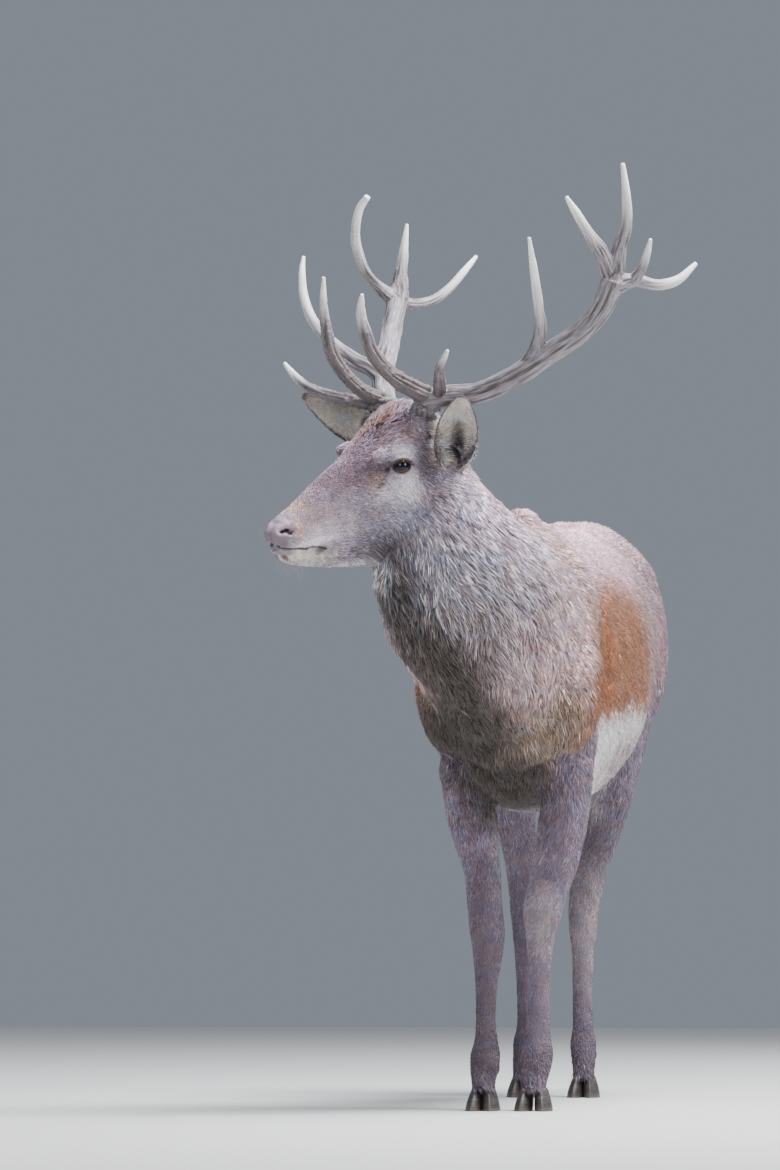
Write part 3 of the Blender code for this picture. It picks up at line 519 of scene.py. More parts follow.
def magnified(places, centre, reach, times, back=False):
    """Swells places about a centre, so that an even grid is finer there; back undoes it."""
    offsets = places - centre
    far = np.linalg.norm(offsets, axis=1, keepdims=True) + 1e-12
    if back:
        changed = np.where(far <= reach * times, far / times, far - reach * times + reach)
    else:
        changed = np.where(far <= reach, far * times, far - reach + reach * times)
    return centre + offsets * changed / far


def remeshed(made, voxel):
    step = made.modifiers.new("unite", "REMESH")
    step.mode = "VOXEL"
    step.voxel_size = voxel
    return applied(made)


# -------- the skin
def ear_axes(side):
    """An ear's root, its length, and the ways along it, out of its cup and across it."""
    root, tip, facing = (np.array(value) for value in EARS[side])
    root, tip, facing = from_head(*root), from_head(*tip), facing @ HEAD_AXES
    along = unit(tip - root)
    facing = unit(facing - along * facing.dot(along))
    return root, np.linalg.norm(tip - root), along, facing, np.cross(along, facing)


def ear_shape(side):
    """A cupped leaf with a thin wall: rows of a curled strip from the root to the tip."""
    root, length, along, facing, across = ear_axes(side)
    rows = smooth_rows(EAR_OUTLINE, 4)
    columns = 26
    sheets = []
    for wall in (0.5, -0.5):
        for share, width, curl in rows:
            half_curl = math.radians(curl)
            radius = EAR_WIDTH / 2 * width / math.sin(min(half_curl, math.pi / 2))
            middle = root + along * (length * share) - facing * (EAR_BOW * math.sin(math.pi * share))
            angles = half_curl * (2 * np.arange(columns + 1) / columns - 1)
            thin = radius + wall * EAR_WALL * (1 - 0.45 * np.abs(angles / half_curl) ** 3)
            sheets.append(
                middle + np.outer(thin * np.sin(angles), across)
                + np.outer(radius * 0.7 - thin * np.cos(angles), facing)
            )
    width, layer = columns + 1, len(rows) * (columns + 1)
    faces = []
    for row in range(len(rows) - 1):
        for column in range(columns):
            start = row * width + column
            quad = (start, start + 1, start + 1 + width, start + width)
            faces += [quad, tuple(corner + layer for corner in quad[::-1])]
        for column in (0, columns):
            start = row * width + column
            faces.append((start, start + width, start + width + layer, start + layer))
    for row in (0, len(rows) - 1):
        for column in range(columns):
            start = row * width + column
            faces.append((start, start + 1, start + 1 + layer, start + layer))
    return np.vstack(sheets), faces


def pedicle(side):
    """The hairy bony stalk under an antler."""
    foot, top = (np.array(point[:3]) for point in ANTLERS[side]["beam"][:2])
    heading = unit(top - foot)
    rows = [(*(foot - heading * 0.045), 0.039), (*foot, 0.0325), (*(foot + heading * 0.011), 0.027)]
    return tube(smooth_rows(rows, 4))


def skin_shapes():
    """Trunk, neck, head, ears, legs and tail as overlapping forms, with the muscles that show."""
    slant = np.array((0, 0.7, 0.7))
    shapes = [
        loft([((0, row[0], row[1]), (0, row[0], row[2]), *row[3:]) for row in TRUNK]),
        loft([(nape, throat, half, 1.85, 2.0) for nape, throat, half in NECK]),
        loft([(from_head(row[0], 0, row[1]), from_head(row[0], 0, row[2]), *row[3:]) for row in HEAD]),
        loft(
            [(middle + slant * depth, middle - slant * depth, half, 2.0, 2.0)
             for middle, half, depth in ((np.array(row[0]), *row[1:]) for row in TAIL)]
        ),
        ball((0, -0.345, 1.120), (0.052, 0.120, 0.088)),  # withers
        ball((0, 0.200, 0.640), (0.024, 0.080, 0.026), turned((12, 0, 0))),  # sheath
        ball((0, 0.520, 0.772), (0.034, 0.038, 0.050)),  # groin
    ]
    for side, sign in SIDES.items():
        eye = from_head(0, sign * EYE_SIDE, 0)
        shapes += [
            ball((sign * 0.090, -0.385, 0.960), (0.078, 0.125, 0.165), turned((22, 0, 0))),  # shoulder
            ball((sign * 0.118, -0.500, 0.840), (0.066, 0.100, 0.130), turned((-12, 0, 0))),  # breast
            ball((sign * 0.112, -0.400, 0.760), (0.050, 0.110, 0.110), turned((-30, 0, 0))),  # upper arm
            ball((sign * 0.090, 0.420, 1.075), (0.082, 0.120, 0.080), turned((0, sign * 25, 0))),  # hip
            ball((sign * 0.104, 0.550, 0.950), (0.080, 0.165, 0.180), turned((10, 0, 0))),  # thigh
            ball(from_head(-0.002, sign * 0.0565, 0.026), (0.062, 0.0200, 0.0170), HEAD_AXES),  # brow
            ball(from_head(-0.045, sign * 0.052, -0.110), (0.075, 0.030, 0.066), HEAD_AXES),  # cheek
            ball(from_head(0.2560, sign * 0.009, -0.085), (0.0278, 0.0255, 0.0248), HEAD_AXES),  # nose
            ball(HEAD_CENTRE + 0.94 * np.array(EARS[side][0]) @ HEAD_AXES, (0.036, 0.024, 0.040), HEAD_AXES),
            ball(eye, (EYE_RADIUS + 0.0035,) * 3),
            pedicle(side),
            ear_shape(side),
        ]
    shapes += [leg_form(sections) for sections in LEGS.values()]
    for name, sections in LEGS.items():
        if name.startswith("hind"):
            (x, y, z), *_ = sections[6]
            shapes.append(ball((x, y + 0.034, z + 0.050), (0.017, 0.018, 0.036), turned((14, 0, 0))))  # hock
    return shapes


def fine_places():
    """Where the skin is modelled finer, largest first: a centre, its reach and how many times finer."""
    spots = [(HEAD_CENTRE, 0.27, 2.5)]
    for centre, reach, times in (
        (from_head(0, EYE_SIDE, 0), 0.036, 2.3),
        (from_head(0, -EYE_SIDE, 0), 0.036, 2.3),
        (from_head(0.245, 0, -0.095), 0.052, 1.7),
    ):
        for spot in spots:
            centre = magnified(centre[None], *spot)[0]
        spots.append((centre, reach * 2.5, times))
    return spots


def magnify(mesh, back=False):
    """Swells the places that are modelled finer, or draws them back."""
    places, spots = places_of(mesh), fine_places()
    for spot in spots[::-1] if back else spots:
        places = magnified(places, *spot, back=back)
    move_to(mesh, places)


def body_share(places):
    """1 on the trunk and neck, 0 on the head and the legs."""
    away = np.linalg.norm(places - HEAD_CENTRE, axis=1) / 0.27
    return np.clip(away - 1, 0, 1) * np.clip((places[:, 2] - 0.55) / 0.25, 0, 1)


def make_skin():
    skin = piece("skin", joined(skin_shapes()))
    magnify(skin.data)
    remeshed(skin, SKIN_VOXEL)
    relax(skin.data, 5)
    magnify(skin.data, back=True)
    relax(skin.data, 60, body_share)
    return skin


# -------- the lie, length and depth of the coat
def guide_lines():
    """Lines down the middle of each part. A row is a place, the girth there, the lie of the coat, its
    length, and how far its tips stand off the skin."""
    lines = {}
    trunk = []
    for y, top, bottom, half, _, _ in TRUNK:
        spots = (-0.60, -0.50, -0.30, 0.0, 0.30, 0.57, 0.72)
        back = np.interp(y, spots, (0.0, 0.20, 0.55, 0.85, 0.80, 0.55, 0.25))
        down = np.interp(y, spots, (-1.0, -1.0, -0.80, -0.50, -0.60, -0.85, -1.0))
        length = np.interp(y, spots, (0.030, 0.026, 0.023, 0.022, 0.022, 0.024, 0.028))
        depth = np.interp(y, spots, (0.008, 0.007, 0.006, 0.006, 0.006, 0.007, 0.008))
        girth = math.sqrt(half * (top - bottom) / 2)
        trunk.append((0, y, (top + bottom) / 2, girth, 0, back, down, length, depth))
    lines["trunk"] = smooth_rows(trunk, 2)
    middles = np.array([(np.array(nape) + throat) / 2 for nape, throat, _ in NECK])
    ways = unit(-np.gradient(middles, axis=0)) + (0, 0, -0.45)
    lengths = (0.026, 0.034, 0.040, 0.034, 0.023, 0.016)
    depths = (0.007, 0.009, 0.011, 0.009, 0.006, 0.004)
    lines["neck"] = smooth_rows(
        [
            (*middle, math.sqrt(half * np.linalg.norm(np.subtract(nape, throat)) / 2), *way, length, depth)
            for middle, way, (nape, throat, half), length, depth in zip(middles, ways, NECK, lengths, depths)
        ],
        3,
    )
    head = []
    for forward, top, bottom, half, _, _ in HEAD:
        spots = (-0.15, -0.07, 0.0, 0.10, 0.20, 0.27)
        length = np.interp(forward, spots, (0.017, 0.0115, 0.0080, 0.0066, 0.0054, 0.0042))
        depth = np.interp(forward, spots, (0.0040, 0.0032, 0.0024, 0.0020, 0.0016, 0.0012))
        way = np.array((-1, 0, -0.22)) @ HEAD_AXES
        girth = math.sqrt(half * (top - bottom) / 2)
        head.append((*from_head(forward, 0, (top + bottom) / 2), girth, *way, length, depth))
    lines["head"] = smooth_rows(head, 2)
    tail = [(*middle, 0.030, 0, 0, 0, 0.034, 0.006) for middle, _, _ in TAIL]
    lines["tail"] = with_lie(smooth_rows(tail, 2))
    for side in SIDES:
        root, tip, _ = np.array(EARS[side])
        rows = [
            (*from_head(*(root * (1 - share) + tip * share)), girth, 0, 0, 0, 0.0056, 0.0006)
            for share, girth in ((0.12, 0.030), (0.45, 0.038), (0.75, 0.030), (1.0, 0.018))
        ]
        lines["ear_" + side] = with_lie(smooth_rows(rows, 3))
    for name, sections in LEGS.items():
        rows = []
        for (x, y, z), half_width, half_depth in sections:
            spots = (0.04, 0.10, 0.20, 0.35, 0.50, 0.70)
            length = np.interp(z, spots, (0.015, 0.0110, 0.0088, 0.0100, 0.014, 0.020))
            depth = np.interp(z, spots, (0.0026, 0.0020, 0.0018, 0.0022, 0.0036, 0.0060))
            rows.append((x, y, z, math.sqrt(half_width * half_depth), 0, 0, 0, length, depth))
        lines[name] = with_lie(smooth_rows(rows, 3))
    return lines


def with_lie(rows):
    """The lie of the coat set along the line itself."""
    rows[:, 4:7] = unit(np.gradient(rows[:, :3], axis=0))
    return rows


GUIDES = guide_lines()
PARTS = list(GUIDES)
GUIDE_ROWS = np.vstack(list(GUIDES.values()))
GUIDE_PARTS = np.concatenate([[number] * len(rows) for number, rows in enumerate(GUIDES.values())])


def coat_at(places):
    """The lie, length and depth of the coat at places, and the share that each part has in them."""
    found, shares = [], []
    for start in range(0, len(places), 20000):
        spots = places[start : start + 20000]
        far = ((spots[:, None, :] - GUIDE_ROWS[None, :, :3]) ** 2).sum(2) / (0.8 * GUIDE_ROWS[:, 3]) ** 2
        weights = np.exp(-far) + 1e-12 / (1 + far)
        weights /= weights.sum(1, keepdims=True)
        found.append(weights @ GUIDE_ROWS[:, 4:])
        shares.append(np.stack([weights[:, GUIDE_PARTS == part].sum(1) for part in range(len(PARTS))], 1))
    found, shares = np.vstack(found), np.vstack(shares)
    return unit(found[:, :3]), found[:, 3], found[:, 4], shares


# -------- modelling the head
# Lines that stay bare, on each side of the head and in its own axes.
LIP_LINE = [(0.276, 0.002, -0.104), (0.255, 0.026, -0.11), (0.21, 0.038, -0.121), (0.178, 0.041, -0.1295)]
NOSTRIL_LINE = [(0.266, 0.019, -0.078), (0.258, 0.024, -0.0765), (0.25, 0.0275, -0.0805)]
TEAR_FOLD = [(0.0341, 0.06, -0.0079), (0.0419, 0.0619, -0.018), (0.0524, 0.0593, -0.0334)]
TEAR_LINE = [(0.0245, 0.0655, 0.0015), *TEAR_FOLD]
# Strokes on each side of the head, in its own axes: a line on the skin, its width and how deep it is
# pressed; a depth below zero raises a fold.
STROKES = [
    ([(0.276, 0.002, -0.104), (0.27, 0.014, -0.106), (0.255, 0.026, -0.11), (0.235, 0.034, -0.115),
      (0.21, 0.038, -0.121), (0.196, 0.0385, -0.126), (0.178, 0.041, -0.1295)], 0.0024, 0.003),
    ([(0.276, 0.004, -0.094), (0.262, 0.024, -0.1), (0.235, 0.036, -0.107), (0.2, 0.04, -0.117)],
     0.0055, -0.001),
    ([(0.268, 0.012, -0.115), (0.245, 0.03, -0.121), (0.215, 0.038, -0.129)], 0.005, -0.0014),
    (NOSTRIL_LINE, 0.0052, 0.013),
    ([(0.272, 0.012, -0.064), (0.258, 0.022, -0.062), (0.242, 0.03, -0.066), (0.232, 0.032, -0.078)],
     0.0048, -0.0018),
    ([(0.262, 0.024, -0.084), (0.25, 0.031, -0.088), (0.238, 0.034, -0.093)], 0.0045, -0.0008),
    ([(0.026, 0.063, 0.0), *TEAR_FOLD], 0.0021, 0.0036),
    ([(0.036, 0.064, -0.022), (0.045, 0.063, -0.038)], 0.006, -0.0012),
    ([(0.016, 0.08, -0.052), (0.06, 0.07, -0.064), (0.125, 0.05, -0.082)], 0.013, -0.003),
    ([(0.062, 0.055, 0.012), (0.105, 0.045, -0.018), (0.15, 0.036, -0.042)], 0.013, 0.0034),
    ([(0.14, 0.045, -0.1), (0.18, 0.04, -0.098)], 0.014, 0.0022),
    ([(-0.048, 0.078, 0.03), (-0.062, 0.08, 0.004), (-0.066, 0.08, -0.03)], 0.012, 0.0038),
    ([(-0.09, 0.075, -0.05), (-0.098, 0.07, -0.1), (-0.084, 0.06, -0.15)], 0.012, 0.005),
    ([(0.03, 0.06, -0.14), (0.08, 0.055, -0.15), (0.13, 0.045, -0.148)], 0.011, 0.0016),
    ([(-0.02, 0.046, 0.078), (-0.04, 0.05, 0.098)], 0.01, 0.003),
    ([(0.277, 0.0, -0.088), (0.277, 0.0, -0.101)], 0.0016, 0.0014),
]
# Strokes on the body, in the maker's own frame, for both sides: creases, muscle edges and sinews.
BODY_STROKES = [
    ([(0, -0.69, 0.76), (0, -0.64, 0.69), (0, -0.54, 0.635)], 0.03, 0.012),
    ([(0.15, -0.44, 0.715), (0.11, -0.52, 0.69), (0.045, -0.535, 0.675), (0.01, -0.5, 0.64)],
     0.02, 0.012),
    ([(0.06, -0.64, 0.75), (0.1, -0.59, 0.76)], 0.045, -0.008),
    ([(0.165, -0.27, 1.0), (0.165, -0.29, 0.88), (0.15, -0.32, 0.76)], 0.03, 0.01),
    ([(0.085, -0.6, 1.13), (0.12, -0.62, 0.98), (0.12, -0.63, 0.86)], 0.035, 0.008),
    ([(0.13, -0.44, 1.1), (0.155, -0.46, 0.96), (0.15, -0.48, 0.84)], 0.045, -0.007),
    ([(0.185, 0.33, 0.9), (0.165, 0.38, 0.8), (0.13, 0.4, 0.72)], 0.03, 0.011),
    ([(0.12, 0.43, 1.12), (0.165, 0.48, 1.0), (0.16, 0.5, 0.86)], 0.045, -0.007),
    ([(0.13, 0.66, 1.06), (0.13, 0.67, 0.9), (0.11, 0.62, 0.74)], 0.03, 0.008),
    ([(0, 0.06, 1.17), (0, 0.25, 1.195), (0, 0.48, 1.215)], 0.026, 0.006),
    ([(0.07, 0.15, 1.17), (0.11, 0.33, 1.14)], 0.04, 0.005),
    ([(0.056, -0.48, 0.415), (0.056, -0.48, 0.375)], 0.026, -0.005),
    ([(0.03, -0.46, 0.338), (0.056, -0.475, 0.335), (0.08, -0.46, 0.338)], 0.014, 0.004),
    ([(0.03, -0.46, 0.46), (0.06, -0.47, 0.464), (0.09, -0.46, 0.46)], 0.016, 0.003),
    ([(0.078, -0.412, 0.3), (0.074, -0.408, 0.235), (0.072, -0.408, 0.165)], 0.0065, 0.0035),
    ([(0.024, -0.412, 0.3), (0.024, -0.408, 0.235), (0.022, -0.408, 0.165)], 0.0065, 0.0035),
    ([(0.043, -0.47, 0.125), (0.042, -0.47, 0.105)], 0.02, -0.004),
    ([(0.043, -0.475, 0.085), (0.041, -0.485, 0.062)], 0.006, 0.004),
    ([(0.09, -0.44, 0.62), (0.075, -0.455, 0.54), (0.066, -0.462, 0.47)], 0.012, 0.003),
    ([(0.02, 0.668, 0.52), (0.016, 0.69, 0.46), (0.012, 0.676, 0.4)], 0.012, 0.005),
    ([(0.018, 0.64, 0.33), (0.016, 0.62, 0.2)], 0.0065, 0.0035),
    ([(0.06, -0.18, 1.165), (0.12, -0.2, 1.1), (0.15, -0.23, 1.03)], 0.035, 0.008),
]
EYE_OPENING = (0.0222, 0.0138, 0.0134)  # half length, and height above and below, over the eyeball


def eye_frame(sign):
    """The eye's middle, the way it looks, the way to its inner corner, and its up."""
    look = unit(np.array((0.30, sign * 0.93, 0.10))) @ HEAD_AXES
    corner = np.array((0.975, 0, 0.10)) @ HEAD_AXES
    corner = unit(corner - look * corner.dot(look))
    up = np.cross(corner, look) * sign
    return from_head(0, sign * EYE_SIDE, 0), look, corner, up


def over_eye(places, sign):
    """Where places lie over the eyeball: forward and up along its surface, and how far from its middle."""
    middle, look, corner, up = eye_frame(sign)
    offsets = places - middle
    far = np.linalg.norm(offsets, axis=1) + 1e-9
    angle = np.arccos(np.clip(offsets @ look / far, -1, 1))
    across, upward = offsets @ corner, offsets @ up
    level = np.hypot(across, upward) + 1e-9
    return EYE_RADIUS * angle * across / level, EYE_RADIUS * angle * upward / level, far


def opening_edge(count=120):
    """The almond between the eyelids, forward and up along the eyeball."""
    length, above, below = EYE_OPENING
    angles = 2 * math.pi * np.arange(count) / count
    height = np.where(np.sin(angles) >= 0, above, below)
    rise = np.sign(np.sin(angles)) * np.abs(np.sin(angles)) ** 1.25
    return np.stack([length * np.cos(angles), height * rise], 1)


def beyond_lids(forward, upward):
    """How far outside the almond, below zero within it."""
    edge = opening_edge()
    far = np.sqrt(((np.stack([forward, upward], 1)[:, None] - edge[None]) ** 2).sum(2).min(1))
    length, above, below = EYE_OPENING
    within = np.clip(np.abs(forward) / length, 0, 1)
    room = np.where(upward >= 0, above, below) * (1 - within ** 2) ** 0.625
    return np.where((np.abs(forward) < length) & (np.abs(upward) < room), -far, far)


def line_distance(places, line):
    """How far places are from a line of points."""
    found = np.full(len(places), 1e9)
    for start, end in zip(line, line[1:]):
        along = end - start
        share = np.clip((places - start) @ along / along.dot(along), 0, 1)
        found = np.minimum(found, np.linalg.norm(places - start - share[:, None] * along, axis=1))
    return found


def on_skin(skin, points):
    """Points moved onto the skin, with a few more between them."""
    return np.array([skin.closest_point_on_mesh(Vector(row))[1] for row in smooth_rows(points, 3)])


def both_sides(points, lay=None):
    """A line for each side: in the head's axes where lay is from_head, otherwise across the body."""
    for sign in SIDES.values():
        if lay:
            yield [lay(forward, sign * left, up) for forward, left, up in points]
        else:
            yield [(sign * x, y, z) for x, y, z in points]


MARKED_LINES = {}  # lips, tear lines and nostrils, laid on the skin


def lay_lines(skin):
    """Lays the lines that stay bare onto the skin, once it has its final shape."""
    for name, points in (("lip", LIP_LINE), ("tear", TEAR_LINE), ("nostril", NOSTRIL_LINE)):
        MARKED_LINES[name] = [on_skin(skin, line) for line in both_sides(points, from_head)]


def marked(places, name):
    """How far places are from the nearer of a pair of lines."""
    return np.min([line_distance(places, line) for line in MARKED_LINES[name]], axis=0)


def press(skin, strokes, near, lay=None):
    """Presses strokes into the skin, or raises them as folds."""
    places, normals = places_of(skin.data), normals_of(skin.data)
    spots = places[near]
    pressed = np.zeros(len(near))
    for points, width, depth in strokes:
        middle_line = points[0][1 if lay else 0] == 0
        for line in both_sides(points, lay):
            line = on_skin(skin, line)
            low, high = line.min(0) - 3 * width, line.max(0) + 3 * width
            close = np.flatnonzero(((spots > low) & (spots < high)).all(1))
            share = np.exp(-((line_distance(spots[close], line) / width) ** 2))
            pressed[close] += depth * share * (0.5 if middle_line else 1)
    places[near] = spots - normals[near] * np.clip(pressed, -0.012, 0.014)[:, None]
    move_to(skin.data, places)


def model_head(skin):
    """Presses the mouth, nostrils and folds in, and sets the eyelids round the eyes."""
    near = np.flatnonzero(np.linalg.norm(places_of(skin.data) - HEAD_CENTRE, axis=1) < 0.36)
    press(skin, STROKES, near, from_head)
    places = places_of(skin.data)
    spots = places[near]
    for sign in SIDES.values():
        middle, look, _, _ = eye_frame(sign)
        forward, upward, far = over_eye(spots, sign)
        close = (far < 0.045) & ((spots - middle) @ look > -0.004)
        outside = beyond_lids(forward[close], upward[close])
        fold = -0.0011 * np.exp(-(((outside - 0.0068) / 0.0017) ** 2))
        lid = EYE_RADIUS + 0.0024 + 0.0010 * ramp(outside, 0.001, 0.005) + fold
        share = ramp(outside, 0.0070, 0.0180)
        wanted = np.where(outside < 0, EYE_RADIUS - 0.0040, lid * (1 - share) + far[close] * share)
        spots[close] = middle + (spots[close] - middle) * (wanted / far[close])[:, None]
    places[near] = spots
    move_to(skin.data, places)


def inset_skin(skin):
    """Draws the skin in by the coat's depth, and ends the legs at the hair line over the hooves."""
    places = places_of(skin.data)
    _, _, depth, _ = coat_at(places)
    places -= normals_of(skin.data) * depth[:, None]
    for sections in LEGS.values():
        (x, y, _), *_ = sections[-1]
        close = (np.abs(places[:, 0] - x) < 0.055) & (np.abs(places[:, 1] - y) < 0.09)
        floor = HAIR_LINE - 0.004 - HAIR_LINE_SLOPE * (places[:, 1] - y)
        drawn = 1 - 0.28 * ramp(places[:, 2], 0.086, 0.046)
        places[:, 0] = np.where(close, x + (places[:, 0] - x) * drawn, places[:, 0])
        places[:, 1] = np.where(close, y + (places[:, 1] - y) * drawn, places[:, 1])
        places[:, 2] = np.where(close, np.maximum(places[:, 2], floor), places[:, 2])
    move_to(skin.data, places)


# -------- markings
# The back's colour is paler than its coat alone: painted top light, as if lit by the sky above.
FLANK, BACK_AND_TOP_LIGHT, SHOULDER = (0.26, 0.108, 0.052), (0.75, 0.500, 0.570), (0.61, 0.440, 0.450)
# The mane's near black also serves as painted shade on the right breast.
NECK_GREY, MANE_AND_SHADE, STERNUM = (0.345, 0.300, 0.310), (0.044, 0.035, 0.030), (0.050, 0.039, 0.034)
NECK_PALE, BREAST, NAPE = (0.53, 0.50, 0.575), (0.22, 0.168, 0.120), (0.36, 0.250, 0.225)
BELLY, CREAM, BUFF, TAN = (0.92, 0.88, 0.88), (0.74, 0.70, 0.66), (0.60, 0.48, 0.35), (0.44, 0.29, 0.21)
# The legs' dark colour also serves as painted shade on the right foreleg.
LEG_GREY, LEG_DARK_AND_SHADE, LEG_PALE = (0.240, 0.194, 0.240), (0.105, 0.082, 0.098), (0.42, 0.37, 0.38)
HAUNCH, POLL = (0.310, 0.220, 0.240), (0.105, 0.070, 0.082)
FACE, BROW, PALE = (0.330, 0.285, 0.335), (0.190, 0.130, 0.160), (0.92, 0.86, 0.90)
RUST, DARK, PAD = (0.170, 0.090, 0.066), (0.030, 0.023, 0.023), (0.285, 0.210, 0.265)
EAR_BACK, EAR_RIM = (0.215, 0.165, 0.165), (0.105, 0.078, 0.074)
# The ear's hollow colour is painted shade deep in its cup.
EAR_LINING, EAR_HOLLOW_SHADE = (0.68, 0.63, 0.58), (0.040, 0.032, 0.032)

# Patches of the body: colour, middle, reach each way, how strong, how soft, and whether it is on both sides.
BOTH = True
BODY_PATCHES = [
    # The pale top of the trunk: the back's coat with painted top light.
    (BACK_AND_TOP_LIGHT, (0, 0.05, 1.21), (0.22, 0.75, 0.17), 0.95, 0.5),
    (SHOULDER, (0.15, -0.42, 1.0), (0.14, 0.17, 0.27), 0.9, 0.6, BOTH),
    (SHOULDER, (0.12, -0.62, 0.9), (0.09, 0.12, 0.15), 0.85, 0.7, BOTH),
    (NAPE, (0.03, -0.5, 1.13), (0.11, 0.13, 0.17), 0.55, 0.6, BOTH),
    (BREAST, (0.1, -0.56, 0.755), (0.11, 0.13, 0.105), 0.85, 0.6, BOTH),
    (FLANK, (0.19, -0.13, 0.92), (0.1, 0.37, 0.19), 0.98, 0.4, BOTH),
    (FLANK, (0.19, 0.24, 0.92), (0.1, 0.26, 0.14), 0.5, 0.8, BOTH),
    (FLANK, (0.15, -0.5, 0.75), (0.03, 0.07, 0.1), 0.6, 0.7, BOTH),
    (FLANK, (0.192, -0.48, 0.83), (0.03, 0.11, 0.12), 0.98, 0.5, BOTH),
    (BELLY, (0, 0.02, 0.6), (0.42, 0.38, 0.235), 1.0, 0.16),
    (BELLY, (0.14, -0.21, 0.7), (0.09, 0.14, 0.095), 1.0, 0.35, BOTH),
    (BELLY, (0, 0.52, 0.74), (0.075, 0.2, 0.14), 0.85, 0.4),
    (HAUNCH, (0.16, 0.05, 0.69), (0.07, 0.19, 0.085), 0.8, 0.5, BOTH),
    (HAUNCH, (0.15, 0.44, 0.95), (0.13, 0.3, 0.27), 0.9, 0.5, BOTH),
    (LEG_GREY, (0.13, 0.47, 0.72), (0.09, 0.2, 0.15), 0.95, 0.35, BOTH),
    (LEG_GREY, (0.1, -0.43, 0.66), (0.085, 0.078, 0.2), 0.95, 0.3, BOTH),
    (LEG_PALE, (0.03, -0.4, 0.58), (0.028, 0.07, 0.12), 0.55, 0.6, BOTH),
    (LEG_DARK_AND_SHADE, (0.05, 0.57, 0.56), (0.05, 0.1, 0.13), 0.4, 0.7, BOTH),
    # Painted shade: the right foreleg alone is darkened here, standing in for the shade on that side.
    (LEG_DARK_AND_SHADE, (-0.06, -0.43, 0.2), (0.05, 0.08, 0.27), 0.62, 0.7),
    (LEG_PALE, (0, 0.62, 0.38), (0.06, 0.09, 0.13), 0.55, 0.7),
    (LEG_PALE, (0.055, -0.47, 0.38), (0.035, 0.05, 0.06), 0.55, 0.8),
    (LEG_DARK_AND_SHADE, (0.06, 0.0, 0.06), (0.25, 0.9, 0.055), 0.6, 0.8),
    (MANE_AND_SHADE, (-0.11, -0.73, 0.87), (0.1, 0.1, 0.14), 0.92, 0.55),
    (MANE_AND_SHADE, (-0.055, -0.63, 0.765), (0.085, 0.13, 0.12), 0.95, 0.55),
    # Painted shade: this dark patch on the right breast, off the throat's mane, stands in for the shade on
    # that side.
    (MANE_AND_SHADE, (-0.125, -0.565, 0.745), (0.085, 0.11, 0.105), 0.88, 0.6),
    (MANE_AND_SHADE, (-0.205, -0.8, 1.03), (0.058, 0.09, 0.16), 0.72, 0.8),
    (STERNUM, (-0.01, -0.53, 0.64), (0.095, 0.14, 0.07), 0.95, 0.5),
    (STERNUM, (0.05, -0.535, 0.677), (0.045, 0.05, 0.028), 0.85, 0.7, BOTH),
    (STERNUM, (0, -0.34, 0.6), (0.07, 0.24, 0.045), 0.9, 0.5),
    (BUFF, (0, 0.76, 1.03), (0.115, 0.12, 0.155), 1.0, 0.25),
    (DARK, (0.112, 0.715, 0.99), (0.022, 0.06, 0.12), 0.55, 0.6, BOTH),
    (TAN, (0, 0.8, 1.02), (0.045, 0.12, 0.15), 0.9, 0.4),
]
